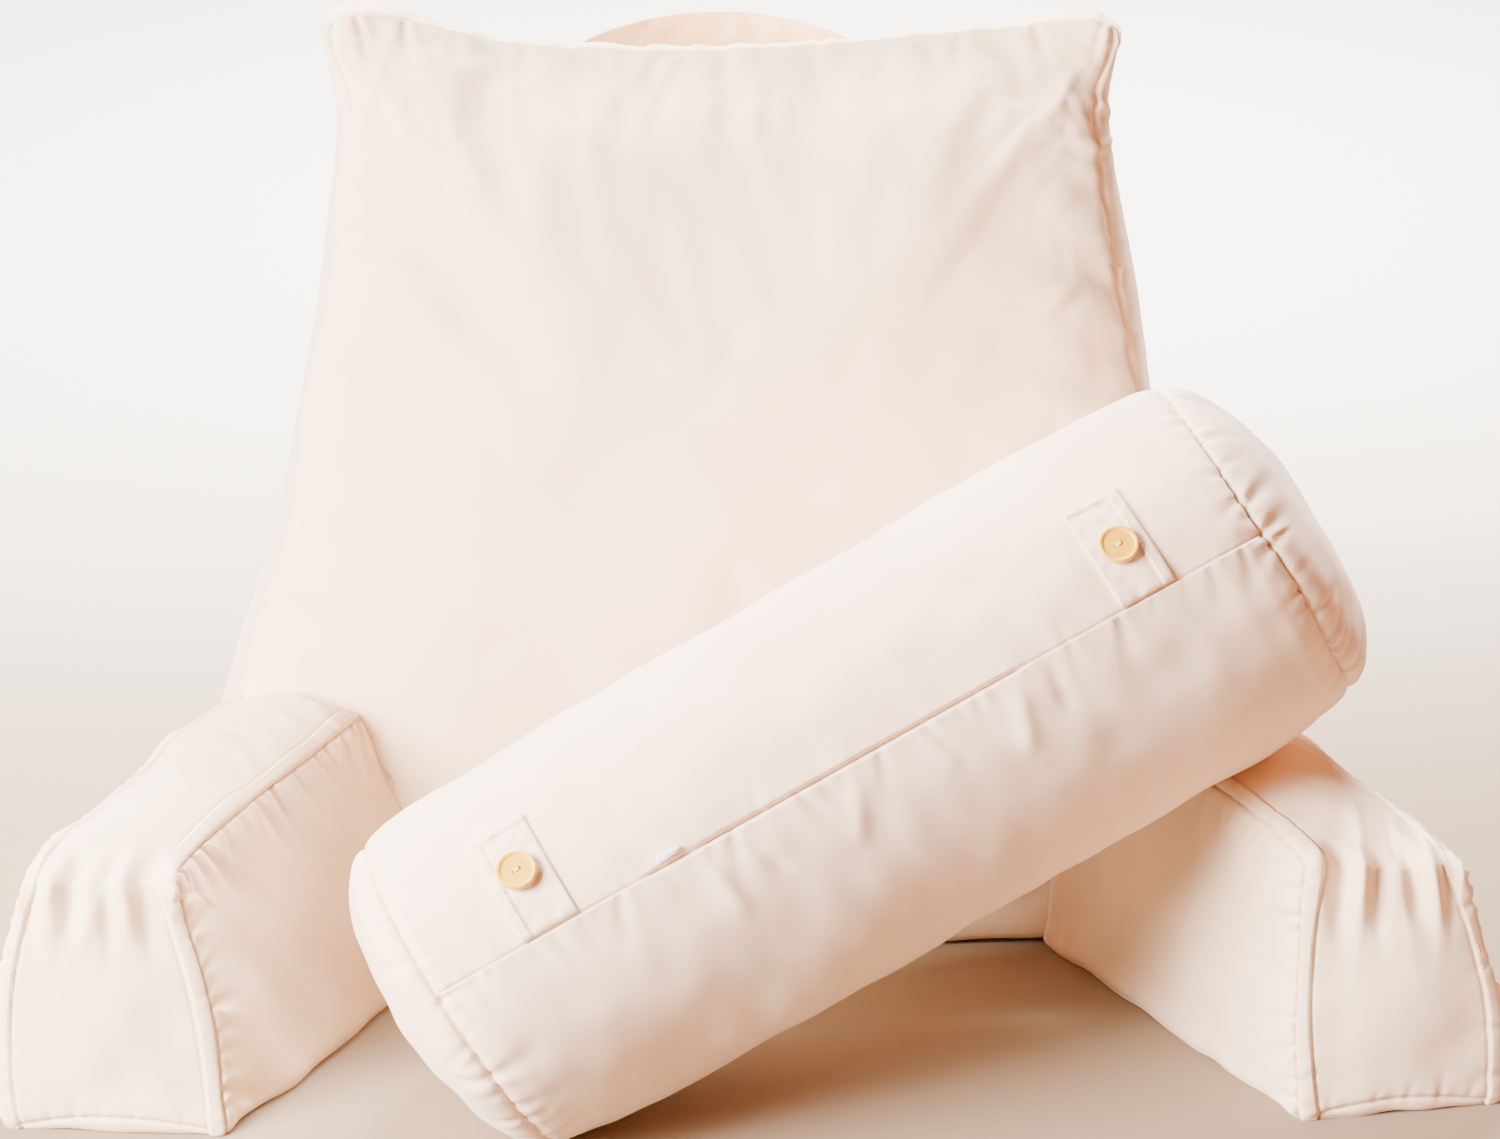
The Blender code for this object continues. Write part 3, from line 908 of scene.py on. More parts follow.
    def build(self, bolster: BVHTree, clear: float = 0.5 * MM) -> Cushion:
        """Makes the cloth and fits it against its neighbours.

        Args:
            bolster: the finished bolster.
            clear: the gap that is left beside them, in metres.

        Returns:
            The arm.
        """
        points, quads, cube = shaped((self.across, self.along, self.high), self.place, levels=3)
        points, quads, cube = subdivided(points, quads, cube, levels=1)
        bend = smooth((cube[:, 2] - 0.78) / 0.2) * smooth((-cube[:, 1] - 0.88) / 0.1)
        points = eased(points, quads, 0.7 * bend, rounds=30)
        inner, outer = -float(self.side.value), float(self.side.value)
        seed = 100 * (2 + self.side.value)
        relief = Relief(points)
        relief.swell(length=80 * MM, height=2.0 * MM, seed=seed + 1)
        relief.swell(length=35 * MM, height=0.7 * MM, seed=seed + 2)
        over_top = ((cube[:, 1] < -0.999) | (cube[:, 2] > 0.999)).astype(float)
        rows = []
        for side, start in ((inner, 10), (outer, 20)):
            front = edge_line(points, cube, {0: side, 1: -1.0})
            ridge = edge_line(points, cube, {0: side, 2: 1.0})
            seam = Line(np.concatenate([front.points, ridge.points])).even(5 * MM)
            relief.groove(seam, deep=1.7 * MM, wide=0.9 * MM)
            relief.puff(seam, high=0.8 * MM, wide=6 * MM)
            deepest = (3.0 if side == inner else 1.8) * MM
            relief.gathers(
                seam, spacing=13 * MM, reach=52 * MM, deep=deepest, seed=seed + start, side=1 - over_top
            )
            relief.gathers(
                seam, spacing=21 * MM, reach=22 * MM, deep=1.2 * MM, seed=seed + start + 1, side=over_top
            )
            rows.append(relief.welt(seam, wide=8 * MM, high=1.5 * MM, side=over_top))
        roll = edge_line(points, cube, {1: -1.0, 2: 1.0})
        relief.puckers(roll, high=5.0 * MM, reach=26 * MM, spacing=24 * MM, seed=seed + 31, through=True)
        for across, above, below, high, wide in self.bends:
            over = self.place(np.full(5, across * outer), np.linspace(above, -1, 5), np.ones(5))
            down = self.place(np.full(7, across * outer), np.full(7, -1.0), np.linspace(1, below, 7))
            relief.fold(Line(np.concatenate([over, down[1:]])), high * MM, wide * MM)
        part = np.linspace(0, 1, 9)
        for across, along, to_across, to_along, high, wide in self.folds:
            sideways = between(across, to_across, part) * outer
            path = self.place(sideways, between(along, to_along, part), np.ones(len(part)))
            relief.fold(Line(path), high * MM, wide * MM)
        off_floor = smooth(points[:, 2] / (9 * MM) - 0.2)
        for number, line in enumerate(self.base_seams()):
            relief.groove(line, deep=1.6 * MM, wide=1.0 * MM)
            relief.puff(line, high=0.8 * MM, wide=4 * MM)
            relief.gathers(
                line, spacing=14 * MM, reach=22 * MM, deep=1.2 * MM, seed=seed + 41 + number, side=off_floor
            )
        cushion = Cushion(points, quads, cube, rows)
        cushion.raised(relief.lift)
        self.pinch(cushion)
        end = cube[:, 1] > 0.999
        sewn = cushion.points[end]
        drawn_in = between(sewn.mean(axis=0), sewn, 0.95)
        cushion.points[end] = pushed_out(drawn_in, self.backrest, clear, reach=0.06, pull=True)
        near = smooth((cube[:, 1] - 0.93) / 0.05) * 0.6
        calmed = eased(cushion.points, quads, near, rounds=5)
        cushion.points = pushed_out(calmed, self.backrest, clear, reach=0.04)
        if self.side is Side.RIGHT:
            cushion.points = pushed_out(cushion.points, bolster, clear, reach=0.03)
        cushion.points[:, 2] = np.maximum(cushion.points[:, 2], 0.0)
        return cushion

    def base_seams(self, rise: float = 0.02, arch: float = 0.12) -> list[Line]:
        """Finds the base's seams: an arch across the front, and one just above the floor on each side.

        Args:
            rise: how high they start, on the cut cube.
            arch: how much higher the middle of the front one is.

        Returns:
            The three seams.
        """
        part = np.linspace(-1, 1, 41)
        ones, bow = np.ones(len(part)), np.cos(part * math.pi / 2)
        seams = [Line(self.place(part, -ones, rise + arch * bow - 1))]
        for side in (-1.0, 1.0):
            seams.append(Line(self.place(side * ones, part * 0.98 + 0.02, rise + rise * bow - 1)))
        return seams

    def pinch(self, cushion: Cushion, deep: float = 2.5 * MM, wide: float = 6 * MM) -> None:
        """Draws the arm in where it is sewn to the backrest.

        Args:
            cushion: the arm, whose points are moved.
            deep: how far it is drawn in at the seam, in metres.
            wide: how soon that fades out, in metres.
        """
        normals = normals_of(cushion.points, cushion.quads)
        for index in np.flatnonzero(cushion.points[:, 1] > -0.16):
            point = Vector(cushion.points[index])
            hit, _, _, away = self.backrest.find_nearest(point, wide * 3)
            if hit is not None:
                cushion.points[index] -= normals[index] * deep * math.exp(-away / wide)


@dataclass
class Bolster:
    """The round neck roll: a body with a long seam and two domed end caps.

    Attributes:
        left, right: the middles of the end seams, in centimetres from the arms' front.
        to_viewer: the way to the viewer.
        slant, lean: how far the ends run back along the roll, per distance to the front and up.
        caps: how deep the left and right caps are.
        roll: rows of (distance from the left seam, radius).
        seam: rows of (distance from the left seam, the long seam's angle up from the front).
        zip_from, zip_to: where the slit over the zip starts and ends.
        mouth: the zip's open end, as two places of (distance, angle).
        folds: the body's folds, as rows of (distance, angle, to distance, to angle, height and width in mm).
    """

    left: Vector = field(default_factory=lambda: Vector((-15.2, -1.2, 7.4)))
    right: Vector = field(default_factory=lambda: Vector((26.87, 15.0, 25.68)))
    to_viewer: Vector = field(default_factory=lambda: Vector((-0.0328, -0.9391, 0.342)))
    slant: float = 0.24
    lean: float = 0.06
    caps: tuple[float, float] = (3.2, 3.7)
    roll: Table = (
        (0.0, 8.6), (0.6, 8.95), (1.6, 9.25), (3.2, 9.55), (6.0, 9.8), (10.0, 10.0), (16.0, 10.05),
        (24.0, 10.1), (32.0, 10.1), (39.0, 10.15), (43.5, 10.15), (46.4, 10.0), (47.9, 9.75), (48.6, 9.5),
        (49.3, 9.15),
    )
    seam: Table = ((0.0, 6.0), (24.0, 4.6), (49.3, 3.0))
    zip_from: float = 12.0
    zip_to: float = 34.4
    mouth: Table = ((14.35, 6.1), (14.6, 6.0))
    folds: Table = (
        (33.5, 3.0, 32.0, -22.0, 2.2, 5.0), (35.5, 2.0, 35.0, -16.0, -1.6, 4.0),
        (24.0, 3.0, 22.0, -20.0, 1.8, 5.0), (15.0, 3.5, 15.5, -22.0, 2.0, 5.0),
        (17.2, 3.0, 18.5, -16.0, -1.6, 4.5), (28.0, 3.0, 28.6, -14.0, 1.4, 4.5),
    )

    def __post_init__(self) -> None:
        """Works out the roll's length and its ways along, to the viewer and up."""
        self.long = (self.right - self.left).length
        self.axis = (self.right - self.left).normalized()
        self.near = (self.to_viewer - self.axis * self.to_viewer.dot(self.axis)).normalized()
        self.up = self.near.cross(self.axis)
        if self.up.z < 0:
            self.up.negate()

    def at(self, along: Points, radius: Points, angle: Points) -> Points:
        """Places points round the roll.

        Args:
            along: how far from the left seam they are, in centimetres.
            radius: how far from the roll's middle line, in centimetres.
            angle: the angle up from the front, in radians.

        Returns:
            The places in metres.
        """
        near, up = radius * np.cos(angle), radius * np.sin(angle)
        run = along - self.slant * near - self.lean * up
        place = (
            np.array(self.left)
            + np.multiply.outer(run, np.array(self.axis))
            + np.multiply.outer(near, np.array(self.near))
            + np.multiply.outer(up, np.array(self.up))
        )
        return in_row(*np.moveaxis(place, -1, 0))

    def on_body(self, along: Points, angle: Points, lift: float = 0.0) -> Points:
        """Places points on or above the body.

        Args:
            along: how far from the left seam they are, in centimetres.
            angle: the angle up from the front, in degrees.
            lift: how far above the body, in centimetres.

        Returns:
            The places in metres.
        """
        radius = column(self.roll, along * self.roll[-1][0] / self.long, 1) + lift
        return self.at(along, radius, np.radians(angle))

    def facing(self, along: float, angle: float) -> tuple[Vector, Vector]:
        """Finds which way a place on the body faces.

        Args:
            along: its distance from the left seam, in centimetres.
            angle: its angle up from the front, in degrees.

        Returns:
            The way out of the cloth, and the way along the roll.
        """
        at = np.array([along])
        run = Vector((self.on_body(at + 1, angle) - self.on_body(at - 1, angle))[0]).normalized()
        turned = Vector((self.on_body(at, angle + 5) - self.on_body(at, angle - 5))[0])
        out = turned.cross(run).normalized()
        return -out if out.y > 0 else out, run

    def seam_line(self) -> Line:
        """The long seam, from one end seam to the other."""
        along = np.linspace(0, 1, 120) * self.long
        return Line(self.on_body(along, column(self.seam, along * self.roll[-1][0] / self.long, 1)))

    def end_line(self, end: int) -> Line:
        """Finds the seam between the body and an end cap.

        Args:
            end: 0 for the left cap, or 1.

        Returns:
            The seam.
        """
        angle = np.linspace(0, 2 * math.pi, 160)
        along, radius = np.full(len(angle), self.long * end), np.full(len(angle), self.roll[-end][1])
        return Line(self.at(along, radius, angle))

    def grid(self) -> tuple[Points, Points, Points, Points]:
        """Makes the smooth roll, with finer steps at its seams.

        Returns:
            The points, the four-sided faces, each point's distance, angle and radius, and how far it is above
            the long seam, round the roll, in metres.
        """
        quarter = np.linspace(0, math.pi / 2, 37)[1:-1]
        depth, width = np.cos(quarter) ** 1.1, np.sin(quarter) ** 0.8
        edge = packed(0, self.long, (0, self.long), fine=0.06, coarse=0.24, near=1.4)
        turn = packed(-math.pi, math.pi, (0.0,), fine=0.006, coarse=0.026, near=0.05)[:-1]
        first, last = self.roll[0][1], self.roll[-1][1]
        along = np.concatenate([-self.caps[0] * depth, edge, (self.long + self.caps[1] * depth)[::-1]])
        body = column(self.roll, edge * self.roll[-1][0] / self.long, 1)
        radius = np.concatenate([first * width, body, (last * width)[::-1]])
        around, rings = len(turn), len(along)
        grid_along = np.repeat(along, around)
        from_seam = np.tile(turn, rings)
        grid_angle = from_seam + np.radians(column(self.seam, grid_along, 1))
        points = self.at(grid_along, np.repeat(radius, around), grid_angle)
        poles = self.at(np.array([-self.caps[0], self.long + self.caps[1]]), np.zeros(2), np.zeros(2))
        points = np.concatenate([points, poles])
        ring, spoke = np.meshgrid(np.arange(rings - 1), np.arange(around), indexing="ij")
        one, two = ring * around + spoke, ring * around + (spoke + 1) % around
        quads = np.stack([one, two, two + around, one + around], axis=-1).reshape(-1, 4)
        pairs = np.arange(0, around, 2)
        for pole, base, facing in ((len(points) - 2, 0, -1), (len(points) - 1, (rings - 1) * around, 1)):
            fan = np.stack([base + pairs, base + (pairs + 1) % around, base + (pairs + 2) % around], axis=1)
            fan = fan if facing > 0 else fan[:, ::-1]
            quads = np.concatenate([quads, np.column_stack([fan, np.full(len(pairs), pole)])])
        if np.einsum("ij,ij->", normals_of(points, quads), points - points.mean(axis=0)) < 0:
            quads = quads[:, ::-1]
        place = np.column_stack([
            np.append(grid_along, [-self.caps[0], self.long + self.caps[1]]),
            np.append(np.degrees((grid_angle + math.pi) % (2 * math.pi) - math.pi), [0.0, 0.0]),
            np.append(np.repeat(radius, around), [0.0, 0.0]),
        ])
        # The caps' middles are on no side of the seam, so they count as far from it.
        above = np.append(from_seam, [9.0, 9.0]) * ROLL_RADIUS * CM
        return points, quads, place, above

    def build(self) -> Cushion:
        """Makes the cloth with its seams, gathers, zip opening and folds.

        Returns:
            The bolster.
        """
        points, quads, cube, above = self.grid()
        relief = Relief(points)
        relief.swell(length=90 * MM, height=1.8 * MM, seed=11)
        relief.swell(length=36 * MM, height=0.6 * MM, seed=12)
        for end, place in ((0, 0.0), (1, self.long)):
            line = self.end_line(end)
            cap = smooth((place - cube[:, 0]) * (1 - 2 * end) / 0.1)
            relief.groove(line, deep=1.7 * MM, wide=0.9 * MM)
            relief.puff(line, high=1.0 * MM, wide=6 * MM)
            relief.gathers(line, spacing=15 * MM, reach=42 * MM, deep=2.6 * MM, seed=60 + end, side=cap)
            relief.gathers(line, spacing=16 * MM, reach=38 * MM, deep=2.2 * MM, seed=70 + end, side=1 - cap)
        self.open_seam(relief, above, cube[:, 0])
        part = np.linspace(0, 1, 9)
        for start, angle_from, end, angle_to, high, wide in self.folds:
            path = self.on_body(between(start, end, part), between(angle_from, angle_to, part))
            relief.fold(Line(path), high * MM, wide * MM)
        cushion = Cushion(points, quads, cube)
        cushion.raised(relief.lift)
        cushion.points[:, 2] = np.maximum(cushion.points[:, 2], 0.0)
        return cushion

    def open_seam(self, relief: Relief, above: Points, along: Points) -> None:
        """Shapes the long seam: a turned edge below it, gathers, and the slit over the zip.

        Args:
            relief: the bolster's relief.
            above: how far each point is above the seam, round the roll, in metres.
            along: how far along the roll it is, in centimetres.
        """
        body = smooth(along / 0.5) * smooth((self.long - along) / 0.5)
        slit = smooth((along - self.zip_from) / 0.8) * smooth((self.zip_to - along) / 0.8)
        below = smooth(-above / (0.7 * MM))
        relief.lift += body * 1.1 * MM * below * np.exp(np.minimum(above, 0) / (5 * MM))
        relief.lift -= body * (1.2 + 2.3 * slit) * MM * np.exp(-((above / ((0.7 + 0.5 * slit) * MM)) ** 2))
        relief.lift += 0.8 * MM * slit * smooth(above / MM) * np.exp(-np.maximum(above, 0) / (7 * MM))
        relief.groove(Line(self.on_body(*np.array(self.mouth).T)), deep=2.2 * MM, wide=1.6 * MM)
        seam = self.seam_line()
        relief.gathers(seam, spacing=15 * MM, reach=40 * MM, deep=1.5 * MM, seed=81, side=below * body)
        relief.gathers(
            seam, spacing=32 * MM, reach=22 * MM, deep=0.8 * MM, seed=83, side=(1 - below) * body
        )

    def weave(self, cushion: Cushion) -> Points:
        """Lays the weave along the body and flat over the caps.

        Args:
            cushion: the bolster.

        Returns:
            Two coordinates in metres for each face corner.
        """
        along, angle, radius = np.moveaxis(cushion.cube[cushion.quads], -1, 0)
        angle = np.radians(angle)
        angle = angle - 2 * math.pi * np.round((angle - angle[:, :1]) / (2 * math.pi))
        body = np.stack([along * CM, angle * ROLL_RADIUS * CM], axis=-1)
        cap = np.stack([radius * np.cos(angle) * CM, radius * np.sin(angle) * CM], axis=-1)
        middle = along.mean(axis=1)
        on_cap = (middle < 0) | (middle > self.long)
        return np.where(on_cap[:, None, None], cap, body).reshape(-1, 2)


@dataclass(frozen=True)
class Cloth:
    """Plain-woven, brushed polyester: matt, with a faint pale sheen where it turns away from the eye.

    Attributes:
        lit, shade: the colours it wanders between, as sRGB codes.
        patch: how large the patches of one colour are, in metres.
        pitch: the distance between threads, in metres, drawn twice as coarse as real so that it shows.
        slub: the size of the threads' unevenness, in metres.
        weave: how much the weave shows in the relief.
    """

    lit: str
    shade: str
    patch: float = 1 / 7
    pitch: float = 0.8 * MM
    slub: float = 1 / 420
    weave: float = 0.18

    def make(self, name: str) -> bpy.types.Material:
        """Builds the finish.

        Args:
            name: the material's name.

        Returns:
            The material.
        """
        build = Nodes(name)
        where = build.add("ShaderNodeTexCoord").outputs["Object"]
        patches = build.add(
            "ShaderNodeTexNoise", Vector=where, Scale=1 / self.patch, Detail=3.0, Roughness=0.5
        ).outputs["Fac"]
        colour = build.add(
            "ShaderNodeMix", data_type="RGBA", Factor=patches, A=linear(self.lit), B=linear(self.shade)
        )
        cloth = build.add("ShaderNodeUVMap", uv_map="weave").outputs["UV"]
        # A wave texture of scale 1 repeats every pi / 10.
        scale = math.pi / 10 / self.pitch
        warp, weft = (
            build.add("ShaderNodeTexWave", bands_direction=way, Vector=cloth, Scale=scale, Distortion=0.6)
            for way in ("X", "Y")
        )
        slub = build.add("ShaderNodeTexNoise", Vector=cloth, Scale=1 / self.slub, Detail=2.0)
        threads = build.add("ShaderNodeMath", warp.outputs["Fac"], weft.outputs["Fac"], operation="ADD")
        height = build.add("ShaderNodeMath", threads.outputs[0], slub.outputs["Fac"], operation="ADD")
        bump = build.add("ShaderNodeBump", Strength=self.weave, Distance=0.15 * MM, Height=height.outputs[0])
        build.shade(
            {"Roughness": 0.88, "Sheen Weight": 0.25, "Sheen Roughness": 0.45, "Specular IOR Level": 0.25},
            {"Base Color": colour.outputs["Result"], "Normal": bump.outputs["Normal"]},
        )
        return build.material


@dataclass(frozen=True)
class Wood:
    """Turned boxwood under a thin lacquer: yellow, fine-grained, and softly shiny on its rim.

    Attributes:
        light, dark: the grain's colours, as sRGB codes.
        grain: how wide the grain is, in metres.
    """

    light: str = "efbf2c"
    dark: str = "d29a18"
    grain: float = 6.25 * MM

    def make(self, name: str) -> bpy.types.Material:
        """Builds the finish.

        Args:
            name: the material's name.

        Returns:
            The material.
        """
        build = Nodes(name)
        where = build.add("ShaderNodeTexCoord").outputs["Object"]
        drawn = build.add("ShaderNodeMapping", Vector=where, Scale=(1.0, 1.0, 6.0)).outputs["Vector"]
        grain = build.add("ShaderNodeTexNoise", Vector=drawn, Scale=1 / self.grain, Detail=4.0).outputs["Fac"]
        colour = build.add(
            "ShaderNodeMix", data_type="RGBA", Factor=grain, A=linear(self.light), B=linear(self.dark)
        )
        build.shade({"Roughness": 0.42, "Coat Weight": 0.2}, {"Base Color": colour.outputs["Result"]})
        return build.material


@dataclass(frozen=True)
class Plain:
    """A material of nearly one colour with a fine unevenness, such as thread or moulded plastic.

    Attributes:
        colour, other: the colours it wanders between, as sRGB codes.
        rough: how dull it is.
        grain: the size of its unevenness, in metres.
        relief: how much of it shows in the surface.
    """

    colour: str
    other: str
    rough: float = 0.6
    grain: float = 1.0 * MM
    relief: float = 0.2

    def make(self, name: str) -> bpy.types.Material:
        """Builds the finish.

        Args:
            name: the material's name.

        Returns:
            The material.
        """
        build = Nodes(name)
        where = build.add("ShaderNodeTexCoord").outputs["Object"]
        noise = build.add("ShaderNodeTexNoise", Vector=where, Scale=1 / self.grain, Detail=2.0).outputs["Fac"]
        mix = build.add(
            "ShaderNodeMix", data_type="RGBA", Factor=noise, A=linear(self.colour), B=linear(self.other)
        )
        bump = build.add("ShaderNodeBump", Strength=self.relief, Distance=0.1 * MM, Height=noise)
        build.shade(
            {"Roughness": self.rough}, {"Base Color": mix.outputs["Result"], "Normal": bump.outputs["Normal"]}
        )
        return build.material


@dataclass(frozen=True)
class Paper:
    """Matt paper printed with a soft grade, deeper in front of the pillow and paler behind it.

    Attributes:
        near, far: its colours, as sRGB codes.
        start, end: the grade's first and last Y, in metres.
    """

    near: str
    far: str
    start: float = 0.0
    end: float = 0.9

    def make(self, name: str) -> bpy.types.Material:
        """Builds the finish.

        Args:
            name: the material's name.

        Returns:
            The material.
        """
        build = Nodes(name)
        where = build.add("ShaderNodeTexCoord").outputs["Object"]
        depth = build.add("ShaderNodeSeparateXYZ", Vector=where).outputs["Y"]
        ends = {"From Min": self.start, "From Max": self.end}
        grade = build.add("ShaderNodeMapRange", interpolation_type="SMOOTHSTEP", Value=depth, **ends)
        part = grade.outputs["Result"]
        colours = {"A": linear(self.near), "B": linear(self.far)}
        mix = build.add("ShaderNodeMix", data_type="RGBA", Factor=part, **colours)
        build.shade({"Roughness": 0.9}, {"Base Color": mix.outputs["Result"]})
        return build.material


class Nodes:
    """A material and a short way to add to its tree."""

    def __init__(self, name: str) -> None:
        """Starts a material of the name with its plain surface."""
        self.material = bpy.data.materials.new(name)
        self.material.use_nodes = True
        self.tree = self.material.node_tree
        self.surface = self.tree.nodes["Principled BSDF"]

    def add(self, kind: str, *feeds: bpy.types.NodeSocket, **given: object) -> bpy.types.Node:
        """Adds a node.

        Args:
            kind: its type.
            feeds: the sockets that feed its inputs, in order.
            given: its settings, and its inputs' values or the sockets that feed them, by name.

        Returns:
            The node.
        """
        node = self.tree.nodes.new(kind)
        settings = {key: value for key, value in given.items() if hasattr(node, key)}
        for key, value in settings.items():
            setattr(node, key, value)
        for place, socket in enumerate(feeds):
            self.tree.links.new(socket, node.inputs[place])
        for key, value in given.items():
            if isinstance(value, bpy.types.NodeSocket):
                self.tree.links.new(value, node.inputs[key])
            elif key not in settings:
                node.inputs[key].default_value = value
        return node

    def shade(self, values: dict[str, float], links: dict[str, bpy.types.NodeSocket]) -> None:
        """Dresses the surface.

        Args:
            values: its inputs' own values.
            links: the sockets that feed its other inputs.
        """
        for key, value in values.items():
            self.surface.inputs[key].default_value = value
        for key, socket in links.items():
            self.tree.links.new(socket, self.surface.inputs[key])


def strip(
    name: str, place: Callable[[Points, Points, Points], Points], cells: tuple[int, int],
    size: tuple[float, float], material: bpy.types.Material,
) -> bpy.types.Object:
    """Makes a closed strip of folded cloth.

    Args:
        name: the piece's name.
        place: gives points from two coordinates from 0 to 1 and the face, 0 under or 1 on top.
        cells: how many faces along and across.
        size: its length and width, in metres, for the weave.
        material: its finish.

    Returns:
        The piece.
    """
    long, wide = cells
    u, v = np.meshgrid(np.linspace(0, 1, long + 1), np.linspace(0, 1, wide + 1), indexing="ij")
    u, v = u.ravel(), v.ravel()
    count = len(u)
    points = np.concatenate([place(u, v, np.full(count, face)) for face in (0.0, 1.0)])
    i, j = np.meshgrid(np.arange(long), np.arange(wide), indexing="ij")
    one = (i * (wide + 1) + j).ravel()
    top = np.stack([one, one + wide + 1, one + wide + 2, one + 1], axis=1)
    loop = np.concatenate([
        np.arange(0, long) * (wide + 1),
        long * (wide + 1) + np.arange(0, wide),
        np.arange(long, 0, -1) * (wide + 1) + wide,
        np.arange(wide, 0, -1),
    ])
    after = np.roll(loop, -1)
    edge = np.stack([loop, after, after + count, loop + count], axis=1)
    quads = np.concatenate([top[:, ::-1], top + count, edge])
    raised = points[top + count]
    facing = np.cross(raised[:, 1] - raised[:, 0], raised[:, 3] - raised[:, 0])
    if np.einsum("ij,ij->", facing, raised[:, 0] - points[top[:, 0]]) < 0:
        quads = quads[:, ::-1]
    both = np.column_stack([u * size[0], v * size[1]])
    return as_piece(name, points, quads, np.concatenate([both, both])[quads].reshape(-1, 2), material)


@dataclass
class Tab:
    """A cloth tab sewn to the bolster with a button on it.

    Attributes:
        along: its middle, from the bolster's left seam, in centimetres.
        low, high: the angles of its ends, in degrees.
        button: the angle of its button.
        side: the side that its long hem is on.
        wide, thick, hem: its width and thickness, and how wide its hems are, in centimetres.
    """

    along: float
    low: float
    high: float
    button: float
    side: Side = Side.LEFT
    wide: float = 3.2
    thick: float = 0.21
    hem: float = 0.6

    @property
    def length(self) -> float:
        """How long it is round the roll, in metres."""
        return math.radians(self.high - self.low) * ROLL_RADIUS * CM

    def ground(self, roll: Bolster, tree: BVHTree, u: Points, v: Points) -> tuple[Points, Points]:
        """Finds the bolster's cloth under the tab.

        Args:
            roll: the bolster's measures.
            tree: its cloth.
            u, v: places up and across the tab, from 0 to 1.

        Returns:
            The points on the cloth, and the way out of the roll at each.
        """
        along = self.along + (v - 0.5) * self.wide
        angle = between(self.low, self.high, u)
        outer, inner = roll.on_body(along, angle, 3.0), roll.on_body(along, angle, -3.0)
        points = outer.copy()
        for index, (start, end) in enumerate(zip(outer, inner, strict=True)):
            points[index] = np.array(tree.ray_cast(Vector(start), Vector(end - start))[0])
        return points, (outer - inner) / np.linalg.norm(outer - inner, axis=1, keepdims=True)

    def build(
        self, name: str, roll: Bolster, tree: BVHTree, material: bpy.types.Material
    ) -> bpy.types.Object:
        """Makes the tab with its two hems, its lower end under the long seam's edge.

        Args:
            name: the piece's name.
            roll: the bolster's measures.
            tree: its cloth.
            material: the tab's finish.

        Returns:
            The piece.
        """
        def place(u: Points, v: Points, face: Points) -> Points:
            """Places points by two coordinates from 0 to 1 and the face."""
            points, out = self.ground(roll, tree, u, v)
            hemmed, plain, far = v * self.wide * CM, (1 - v) * self.wide * CM, (1 - u) * self.length
            edge = np.minimum(np.minimum(hemmed, plain), far)
            hemmed = hemmed if self.side is Side.LEFT else plain
            round_off = np.sqrt(np.clip(edge / (0.9 * MM), 0, 1))
            from_hem = np.minimum(hemmed, far * 1.3) - self.hem * CM
            drawn = 0.16 * np.exp(-(((from_hem - 0.8 * MM) / MM) ** 2))
            band = 0.68 + 0.42 * smooth(0.5 - from_hem / (0.9 * MM)) - drawn
            tucked = 1 - 0.55 * smooth(1 - u * self.length / (2.5 * MM))
            top = 0.4 * MM + (0.5 + 0.5 * round_off) * self.thick * CM * band * tucked
            top = top + 0.2 * MM * Ripple(11 * MM, 7).at(points) * round_off
            return points + out * (0.5 * MM + top * face)[:, None]

        return strip(name, place, (70, 40), (self.length, self.wide * CM), material)

    def hem_lines(self, roll: Bolster, tree: BVHTree, steps: int = 30) -> list[Line]:
        """Finds where the tab's hems are stitched, a millimetre inside their edges.

        Args:
            roll: the bolster's measures.
            tree: its cloth.
            steps: how many points each line has.

        Returns:
            The lines of the upper and the long hem.
        """
        inset = self.hem - 0.1
        upper, beside = 1 - 0.77 * inset / (self.length / CM), inset / self.wide
        u = np.concatenate([np.full(steps, upper), np.linspace(0.04, upper, steps)])
        v = np.concatenate([np.linspace(beside, 0.98, steps), np.full(steps, beside)])
        v = v if self.side is Side.LEFT else 1 - v
        points, out = self.ground(roll, tree, u, v)
        points = points + out * (self.thick * CM + 0.9 * MM)
        return [Line(points[:steps]), Line(points[steps:])]


